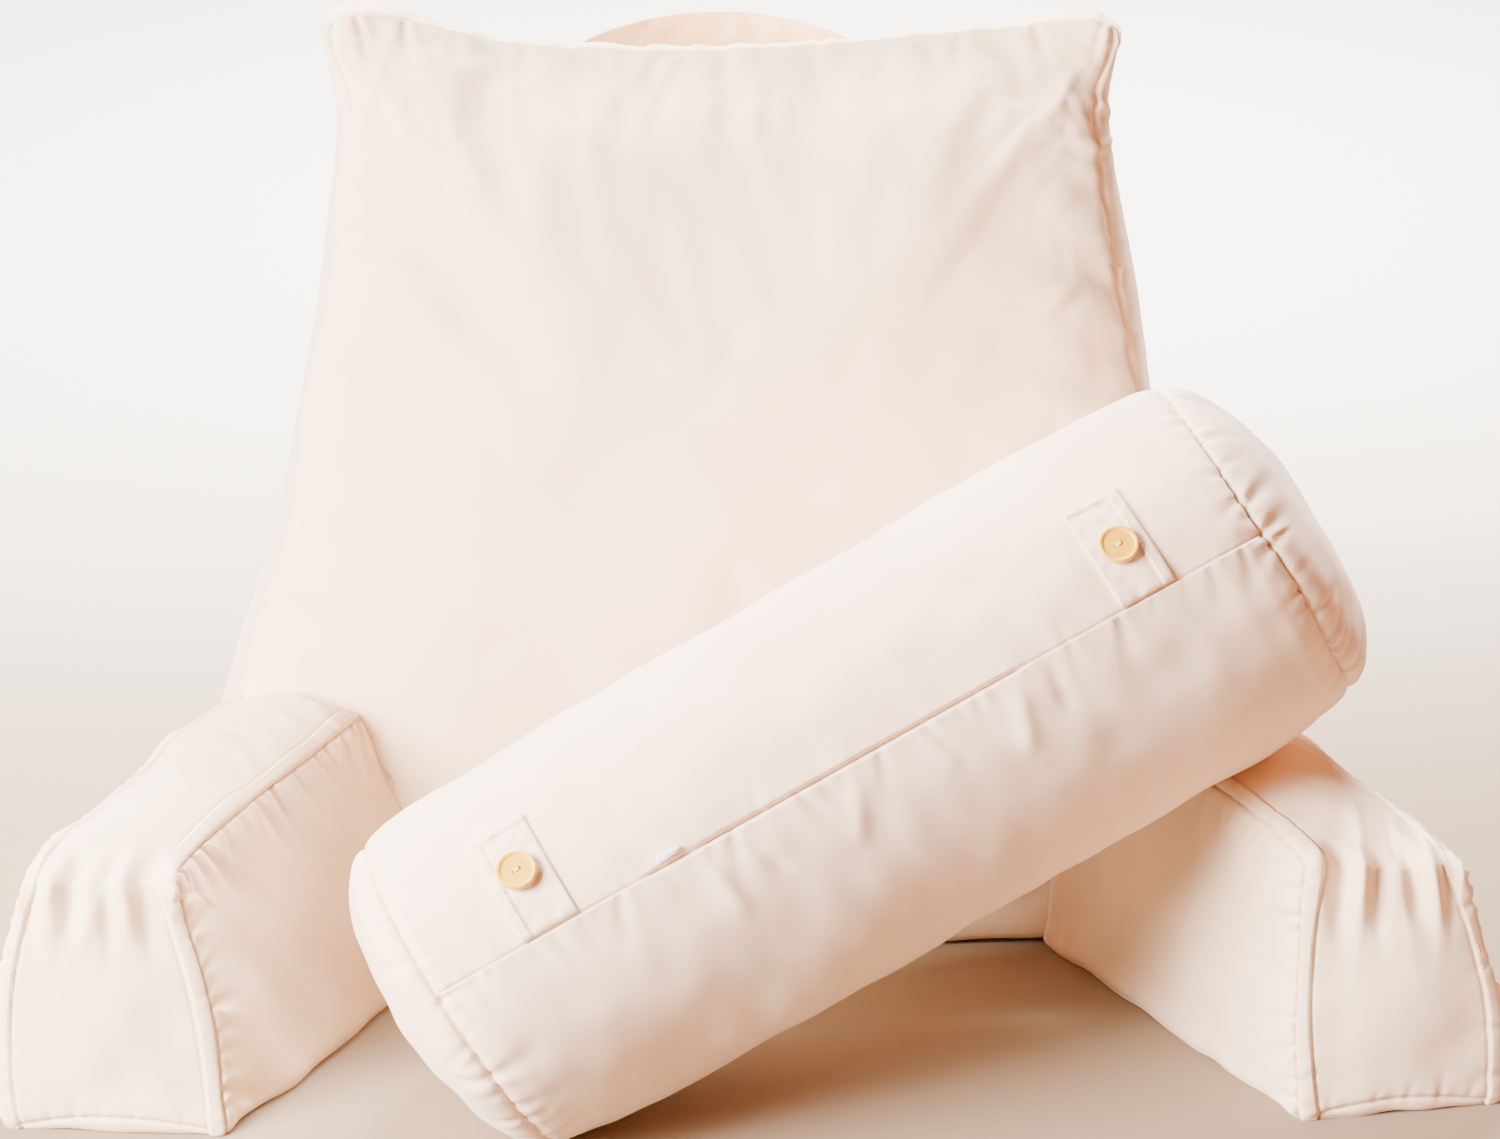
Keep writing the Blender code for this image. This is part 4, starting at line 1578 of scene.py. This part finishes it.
@dataclass
class ZipPull:
    """The small moulded pull at the zip's end, lying along the seam.

    Attributes:
        along: its middle, from the bolster's left seam, in centimetres.
        angle: its middle's angle up from the front, in degrees.
        long, wide, thick: its size in metres.
    """

    along: float = 13.7
    angle: float = 7.6
    long: float = 14.0 * MM
    wide: float = 4.4 * MM
    thick: float = 1.5 * MM

    def build(self, roll: Bolster, tree: BVHTree, plastic: bpy.types.Material) -> bpy.types.Object:
        """Makes the pull: a tag that narrows to the slider, with a raised rib down its middle.

        Args:
            roll: the bolster's measures.
            tree: its cloth.
            plastic: the pull's finish.

        Returns:
            The piece.
        """
        half = math.degrees(self.wide / CM / 2 / ROLL_RADIUS)
        bed = Tab(self.along, self.angle - half, self.angle + half, self.angle, wide=self.long / CM)

        def place(u: Points, v: Points, face: Points) -> Points:
            """Places points by two coordinates from 0 to 1 and the face."""
            end = np.minimum(v, 1 - v) * self.long
            round_end = np.sqrt(np.clip(1 - (1 - np.clip(end / (1.6 * MM), 0, 1)) ** 2, 0, 1))
            outline = round_end * (1 - 0.4 * smooth(v * 1.4 - 0.4))
            side = (u - 0.5) * 2
            points, out = bed.ground(roll, tree, 0.5 + 0.5 * side * outline, v)
            rim = np.sqrt(np.clip(1 - np.abs(side) ** 5, 0, 1)) * np.clip(outline * 1.6, 0, 1)
            rib = 0.5 * MM * np.exp(-((side / 0.3) ** 2)) * smooth(v * 3 - 0.6)
            return points + out * (0.5 * MM + (self.thick * (0.35 + 0.65 * rim) + rib) * face)[:, None]

        return strip("zip_pull_tag", place, (16, 44), (self.wide, self.long), plastic)


def revolved(
    profile: Table, steps: int, shift: float = 0.0, first: int = 0
) -> tuple[list[tuple[float, float, float]], list[list[int]]]:
    """Makes a closed solid of revolution that stands along Z.

    Args:
        profile: rows of (radius, height), from below.
        steps: how many points each ring has.
        shift: how far its axis is moved along X.
        first: the number of its first point.

    Returns:
        Its points and faces.
    """
    turns = [2 * math.pi * step / steps for step in range(steps)]
    points = [(shift + r * math.cos(turn), r * math.sin(turn), z) for r, z in profile for turn in turns]
    rings = [[first + ring * steps + step for step in range(steps)] for ring in range(len(profile))]
    faces = []
    for low, high in zip(rings[:-1], rings[1:], strict=True):
        faces += map(list, zip(low, low[1:] + low[:1], high[1:] + high[:1], high, strict=True))
    return points, [*faces, rings[0][::-1], rings[-1]]


@dataclass
class Button:
    """A turned wooden button with two holes and its sewing thread.

    Attributes:
        radius, thick: its size in metres.
        rim, dish: how wide its raised rim is, and how deep the middle lies below it.
        hole, apart: the holes' radius, and how far each one is from the middle.
        strand: the thread's radius.
    """

    radius: float = 1.03 * CM
    thick: float = 3.4 * MM
    rim: float = 2.0 * MM
    dish: float = 0.9 * MM
    hole: float = 1.0 * MM
    apart: float = 1.6 * MM
    strand: float = 0.36 * MM

    @property
    def floor(self) -> float:
        """The height of the dished middle."""
        return self.thick - self.dish

    def profile(self) -> Table:
        """Works out the turned outline.

        Returns:
            Rows of (radius, height) from the back, round the rim, to the dished middle.
        """
        ring, low, top = self.radius - self.rim, self.floor, self.thick
        return (
            (self.radius * 0.86, 0.0), (self.radius * 0.97, 0.25 * MM), (self.radius, 0.9 * MM),
            (self.radius, 2.2 * MM), (self.radius * 0.97, top - 0.35 * MM), (self.radius * 0.93, top),
            (ring + 0.55 * MM, top), (ring + 0.1 * MM, top - 0.3 * MM), (ring - 0.4 * MM, low + 0.1 * MM),
            (ring - 1.1 * MM, low), (self.radius * 0.6, low),
        )

    def disc(self, name: str, wood: bpy.types.Material) -> bpy.types.Object:
        """Turns the button and drills its two holes.

        Args:
            name: the piece's name.
            wood: its finish.

        Returns:
            The piece, lying level with its back's middle at the origin.
        """
        mesh, drill = bpy.data.meshes.new(name), bpy.data.meshes.new("drill")
        points, faces = revolved(self.profile(), 64)
        mesh.from_pydata(points, [], faces)
        mesh.materials.append(wood)
        made = linked(name, mesh)
        bore = ((self.hole, -MM), (self.hole, 5 * MM))
        left, left_faces = revolved(bore, 20, -self.apart)
        right, right_faces = revolved(bore, 20, self.apart, len(left))
        drill.from_pydata(left + right, [], left_faces + right_faces)
        tool = linked("drill", drill)
        cut = made.modifiers.new("holes", "BOOLEAN")
        cut.object, cut.solver = tool, "EXACT"
        made = baked(made)
        bpy.data.objects.remove(tool)
        return made

    def build(
        self, names: tuple[str, str], box: tuple[Vector, Vector], normal: Vector, along: Vector,
        wood: bpy.types.Material, thread: bpy.types.Material,
    ) -> tuple[bpy.types.Object, bpy.types.Object]:
        """Makes the button and its thread.

        Args:
            names: the names of the two pieces.
            box: the button's box in the frame.
            normal: the way it faces.
            along: the way its holes lie.
            wood, thread: the finishes.

        Returns:
            The button and the thread.
        """
        turn = Matrix((along, normal.cross(along), normal)).transposed().to_4x4()
        turn.translation = (Vector(box[0]) + Vector(box[1])) / 2 - normal * self.thick / 2
        made = self.disc(names[0], wood)
        made.data.transform(turn)
        made.data.update()
        made.data.set_sharp_from_angle(angle=math.radians(35))
        part = np.linspace(0, 1, 16)
        bow = np.sin(math.pi * part)
        x = (part * 2 - 1) * self.apart * 1.02
        z = self.floor + 0.35 * MM * bow - 1.6 * MM * (1 - bow) ** 3 + 0.3 * MM
        strands = []
        for shift in (-0.45 * MM, 0.45 * MM):
            path = np.column_stack([x, np.full(len(part), shift), z])
            strands.append(np.array([turn @ Vector(point) for point in path]))
        return made, tubes(names[1], strands, self.strand, thread)


def tubes(
    name: str, paths: Sequence[Points], radius: float, material: bpy.types.Material
) -> bpy.types.Object:
    """Makes round strands, closed at both ends, as one object.

    Args:
        name: the piece's name.
        paths: the strands' middle lines.
        radius: how thick they are.
        material: their finish.

    Returns:
        The piece.
    """
    curve = bpy.data.curves.new(name, "CURVE")
    curve.dimensions, curve.bevel_depth, curve.use_fill_caps = "3D", radius, True
    curve.bevel_resolution = 2
    for path in paths:
        spline = curve.splines.new("POLY")
        spline.points.add(len(path) - 1)
        spline.points.foreach_set("co", np.column_stack([path, np.ones(len(path))]).ravel())
    curve.materials.append(material)
    return baked(linked(name, curve))


def baked(made: bpy.types.Object) -> bpy.types.Object:
    """Turns an object with modifiers, or a curve, into one plain mesh.

    Args:
        made: the object, which is removed.

    Returns:
        A smooth shaded object of the same name.
    """
    name = made.name
    mesh = bpy.data.meshes.new_from_object(made.evaluated_get(bpy.context.evaluated_depsgraph_get()))
    bpy.data.objects.remove(made)
    mesh.name = name
    mesh.polygons.foreach_set("use_smooth", np.ones(len(mesh.polygons), bool))
    return linked(name, mesh)


@dataclass
class Stitching:
    """Rows of stitches, each one a small bead set along its line by Geometry Nodes.

    Attributes:
        pitch: from one stitch to the next, in metres.
        long, thick: a stitch's length and thickness.
        reach: how far from its line the cloth may be.
    """

    pitch: float = 3.0 * MM
    long: float = 2.2 * MM
    thick: float = 0.5 * MM
    reach: float = 10 * MM

    def build(
        self, name: str, lines: Sequence[Line], ground: BVHTree, material: bpy.types.Material
    ) -> bpy.types.Object:
        """Makes one object of all the stitches on a cushion.

        Args:
            name: the piece's name.
            lines: the seams to follow.
            ground: the cloth they lie on.
            material: the thread.

        Returns:
            The stitches.
        """
        places, ways, outs = [], [], []
        for line in lines:
            points = line.even(self.pitch).points
            for first, last in zip(points[:-1], points[1:], strict=True):
                hit, facing, _, _ = ground.find_nearest(Vector((first + last) / 2), self.reach)
                if hit is not None:
                    places.append(hit + facing * self.thick * 0.2)
                    ways.append(Vector(last - first).normalized())
                    outs.append(facing)
        mesh = bpy.data.meshes.new(name)
        mesh.from_pydata(places, [], [])
        for key, values in (("way", ways), ("out", outs)):
            kept = mesh.attributes.new(key, "FLOAT_VECTOR", "POINT")
            kept.data.foreach_set("vector", np.array(values).ravel())
        made = linked(name, mesh)
        modifier = made.modifiers.new("stitches", "NODES")
        modifier.node_group = self.tree()
        given = {"Length": self.long, "Thickness": self.thick, "Thread": material}
        for item in modifier.node_group.interface.items_tree:
            if item.item_type == "SOCKET" and item.in_out == "INPUT" and item.name in given:
                modifier[item.identifier] = given[item.name]
        return baked(made)

    def tree(self) -> bpy.types.NodeTree:
        """Makes the node tree: a bead on each point, turned along its line.

        Returns:
            The tree, with the stitches' length, thickness and thread as its inputs.
        """
        tree = bpy.data.node_groups.new("stitches", "GeometryNodeTree")
        kinds = {"Points": "Geometry", "Length": "Float", "Thickness": "Float", "Thread": "Material"}
        for name, kind in kinds.items():
            tree.interface.new_socket(name, in_out="INPUT", socket_type="NodeSocket" + kind)
        tree.interface.new_socket("Stitches", in_out="OUTPUT", socket_type="NodeSocketGeometry")
        new, link = tree.nodes.new, tree.links.new
        start, end = new("NodeGroupInput"), new("NodeGroupOutput")
        bead = new("GeometryNodeMeshUVSphere")
        bead.inputs["Segments"].default_value, bead.inputs["Rings"].default_value = 6, 4
        bead.inputs["Radius"].default_value = 0.5
        turn = [new("FunctionNodeAlignRotationToVector") for _ in range(2)]
        for node, key, axis in zip(turn, ("out", "way"), ("Z", "X"), strict=True):
            read = new("GeometryNodeInputNamedAttribute")
            read.data_type = "FLOAT_VECTOR"
            read.inputs["Name"].default_value = key
            node.axis = axis
            link(read.outputs["Attribute"], node.inputs["Vector"])
        turn[1].pivot_axis = "Z"
        link(turn[0].outputs["Rotation"], turn[1].inputs["Rotation"])
        put = new("GeometryNodeInstanceOnPoints")
        size = new("ShaderNodeCombineXYZ")
        for key, axes in (("Length", "X"), ("Thickness", "YZ")):
            for axis in axes:
                link(start.outputs[key], size.inputs[axis])
        link(size.outputs["Vector"], put.inputs["Scale"])
        real, paint = new("GeometryNodeRealizeInstances"), new("GeometryNodeSetMaterial")
        link(start.outputs["Points"], put.inputs["Points"])
        link(bead.outputs["Mesh"], put.inputs["Instance"])
        link(turn[1].outputs["Rotation"], put.inputs["Rotation"])
        link(put.outputs["Instances"], real.inputs["Geometry"])
        link(real.outputs["Geometry"], paint.inputs["Geometry"])
        link(start.outputs["Thread"], paint.inputs["Material"])
        link(paint.outputs["Geometry"], end.inputs["Stitches"])
        return tree


@dataclass
class CarryHandle:
    """The strap across the top of the back, standing out in a bow.

    Attributes:
        left, right: where its ends are sewn on, in centimetres.
        low, high: its lower and upper edges.
        thick: its thickness.
        bow, lift: how far its middle stands out and up.
        sewn: how long each sewn end is.
    """

    left: float = -10.6
    right: float = 9.0
    low: float = 42.4
    high: float = 46.4
    thick: float = 0.25
    bow: float = 4.6
    lift: float = 1.5
    sewn: float = 1.3

    def build(self, backrest: BVHTree, material: bpy.types.Material) -> tuple[bpy.types.Object, float]:
        """Makes the strap.

        Args:
            backrest: the cloth it is sewn to.
            material: its finish.

        Returns:
            The strap and its length in metres.
        """
        def place(u: Points, v: Points, face: Points) -> Points:
            """Places points by two coordinates from 0 to 1 and the face."""
            x = between(self.left, self.right, u) * CM
            z = between(self.low, self.high, v) * CM
            loose = (self.right - self.left - 2 * self.sewn) * CM
            free = np.clip((x - (self.left + self.sewn) * CM) / loose, 0, 1)
            arc = np.sin(math.pi * free) ** 0.6
            back = np.zeros(len(x))
            for index in range(len(x)):
                hit = backrest.ray_cast(Vector((x[index], 1.0, z[index])), Vector((0, -1, 0)))[0]
                back[index] = hit.y if hit else back[index - 1]
            edge = np.minimum(v, 1 - v) * (self.high - self.low) * CM
            round_off = np.sqrt(np.clip(edge / (1.2 * MM), 0, 1))
            stitch = np.exp(-(((edge - 4 * MM) / (0.9 * MM)) ** 2))
            deep = self.thick * CM * (0.45 + 0.55 * round_off) * (1 - 0.3 * stitch)
            wave = 0.5 * MM * Ripple(30 * MM, 9).at(np.column_stack([x, z])) * arc
            y = back + 0.7 * MM + self.bow * CM * arc + wave + self.thick * CM / 2 + deep * (face - 0.5)
            return np.column_stack([x, y, z + self.lift * CM * arc])

        middle = place(np.linspace(0, 1, 60), np.full(60, 0.5), np.full(60, 0.5))
        length = float(np.linalg.norm(np.diff(middle, axis=0), axis=1).sum())
        size = (length, (self.high - self.low) * CM)
        return strip("carry_strap", place, (120, 28), size, material), length


class Studio:
    """The plain pale set, its soft light and the camera."""

    def __init__(self) -> None:
        """Sets up the paper, the lights and the camera."""
        self.floor(Paper("94806a", "b8b0a6").make("uncoated_paper"))
        self.world("ffae74", strength=0.13)
        self.lamp("key", (-1.55, -1.2, 1.05), size=1.2, power=350.0, colour="fffaf5")
        self.lamp("warm_fill", (1.9, -0.7, 1.1), size=1.4, power=24.0, colour="ff9448")
        behind = (0.0, 2.4, 0.0)
        self.lamp("backdrop_light", (0.2, 1.25, 2.0), size=1.2, power=800.0, colour="ffffff", to=behind)
        self.camera()

    @staticmethod
    def floor(paint: bpy.types.Material, reach: float = 5.0) -> None:
        """Lays the paper under and behind the pillow, flat, so that it hides nothing from any side.

        Args:
            paint: its finish.
            reach: how far it goes on each side, in metres.
        """
        corners = [(-reach, -reach, 0.0), (reach, -reach, 0.0), (reach, reach, 0.0), (-reach, reach, 0.0)]
        mesh = bpy.data.meshes.new("paper_floor")
        mesh.from_pydata(corners, [], [(0, 1, 2, 3)])
        mesh.materials.append(paint)
        made = linked("paper_floor", mesh)
        made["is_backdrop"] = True

    @staticmethod
    def world(colour: str, strength: float) -> None:
        """Lights the set evenly from all round.

        Args:
            colour: the light's colour, as an sRGB code.
            strength: how strong it is.
        """
        world = bpy.data.worlds.new("studio")
        world.use_nodes = True
        back = world.node_tree.nodes["Background"]
        back.inputs["Color"].default_value = linear(colour)
        back.inputs["Strength"].default_value = strength
        bpy.context.scene.world = world

    @staticmethod
    def lamp(
        name: str, at: Sequence[float], size: float, power: float, colour: str,
        to: Sequence[float] = (0, -0.1, 0.2),
    ) -> None:
        """Hangs a square soft box.

        Args:
            name: the light's name.
            at: where it is, in metres.
            size: how wide it is.
            power: how strong it is, in watts.
            colour: its colour, as an sRGB code.
            to: the place it faces, which is the pillow's middle unless given.
        """
        light = bpy.data.lights.new(name, "AREA")
        light.size, light.energy, light.color = size, power, linear(colour)[:3]
        made = linked(name, light)
        made.location = at
        made.rotation_euler = (Vector(to) - Vector(at)).to_track_quat("-Z", "Y").to_euler()

    @staticmethod
    def camera() -> None:
        """Sets the camera of the photograph's view: a long lens, 20 degrees up and 2 degrees to the left."""
        lens = bpy.data.cameras.new("camera")
        lens.lens, lens.sensor_width, lens.sensor_fit = 120.0, 36.0, "HORIZONTAL"
        made = linked("camera", lens)
        around, above, away = math.radians(-2.0), math.radians(20.0), 2.60
        target = Vector((0.0, -0.225, 0.262))
        level = math.cos(above)
        out = Vector((math.sin(around) * level, -math.cos(around) * level, math.sin(above)))
        made.location = target + out * away
        made.rotation_euler = (-out).to_track_quat("-Z", "Y").to_euler()
        bpy.context.scene.camera = made


def save_size(name: str, sizes: dict[str, list[list[float]]]) -> None:
    """Adds the shown object's box to the sizes.

    Args:
        name: "cad" or "visual".
        sizes: the boxes so far.
    """
    sizes[name] = [list(corner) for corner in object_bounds()]


def keep(piece: bpy.types.Object, slot: str, node: str = "") -> None:
    """Ties a piece to the frame.

    Args:
        piece: the piece.
        slot: not used.
        node: the solid that it stands for, if any.
    """
    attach(piece, "root")
    if node:
        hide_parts(node)
    log.info("%s: %d points", piece.name, len(piece.data.vertices))


def main() -> None:
    """Builds every piece on the frame and the studio around it."""
    logging.basicConfig(level=logging.INFO, format="%(message)s")
    sizes: dict[str, list[list[float]]] = {}
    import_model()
    save_size("cad", sizes)
    cover = Cloth("f3d9bc", "ebcfb0").make("woven_polyester_cover")
    # The bolster is cut from the same cloth, and shows a little rosier.
    pink = Cloth("f5dac2", "edceb3").make("woven_polyester_bolster")
    # The strap is cut from the cover cloth. Its inner face is in the shade, so it gets a deeper copy of that
    # cloth: painted shade.
    strap_cloth_painted_shade = Cloth("e6c6a2", "dcb890").make("woven_polyester_strap_painted_shade")
    # Spun polyester thread: dull, and paler than the cloth it holds.
    thread = Plain("f6ecdc", "e6d8c4", rough=0.7, grain=0.3 * MM).make("spun_polyester_thread")
    wood = Wood().make("turned_boxwood")
    # Moulded acetal: a smooth, slightly waxy white that catches one soft light.
    white = Plain("f2f0ec", "dfdcd8", rough=0.35, grain=2.0 * MM, relief=0.1).make("moulded_acetal")

    back = Backrest().build()
    back_tree = back.tree()
    roll = Bolster()
    bolster = roll.build()
    roll_tree = bolster.tree()
    covers = {"backrest": back, "bolster": bolster}
    for side, name in ((Side.LEFT, "arm_left"), (Side.RIGHT, "arm_right")):
        covers[name] = Arm(side, back_tree).build(roll_tree)
    stitches = Stitching()
    for name, cushion in covers.items():
        if name == "bolster":
            weave, finish, slot = roll.weave(cushion), pink, "bolster_cloth"
        else:
            weave, finish, slot = cushion.weave(), cover, "cover_cloth"
        piece = as_piece(name + "_cover", cushion.points, cushion.quads, weave, finish)
        if cushion.rows:
            keep(stitches.build(name + "_stitches", cushion.rows, cushion.tree(), thread), "cover_cloth")
        keep(piece, slot, name)

    # The strap wears the copy of the cover cloth with painted shade.
    strap, length = CarryHandle().build(back_tree, strap_cloth_painted_shade)
    keep(strap, "cover_cloth", "carry_handle")
    tabs = {
        "left": Tab(along=6.75, low=6.2, high=41.5, button=24.8),
        "right": Tab(along=41.8, low=4.0, high=38.0, button=20.0, side=Side.RIGHT),
    }
    for name, tab in tabs.items():
        piece = tab.build(f"tab_{name}_cloth", roll, roll_tree, pink)
        keep(piece, "bolster_cloth", "tab_" + name)
        tree = BVHTree.FromObject(piece, bpy.context.evaluated_depsgraph_get())
        sewing = stitches.build(f"tab_{name}_stitches", tab.hem_lines(roll, roll_tree), tree, thread)
        keep(sewing, "bolster_cloth")
        size = (tab.length, tab.wide * CM)
        names = (f"button_{name}_turned", f"button_{name}_thread")
        disc, sewn = Button().build(
            names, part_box("button_" + name), *roll.facing(tab.along, tab.button), wood, thread
        )
        keep(disc, "button_wood", "button_" + name)
        keep(sewn, "bolster_cloth")
    keep(ZipPull().build(roll, roll_tree, white), "zip_plastic", "zip_pull")
    Studio()
    save_size("visual", sizes)


if __name__ == "__main__":
    main()
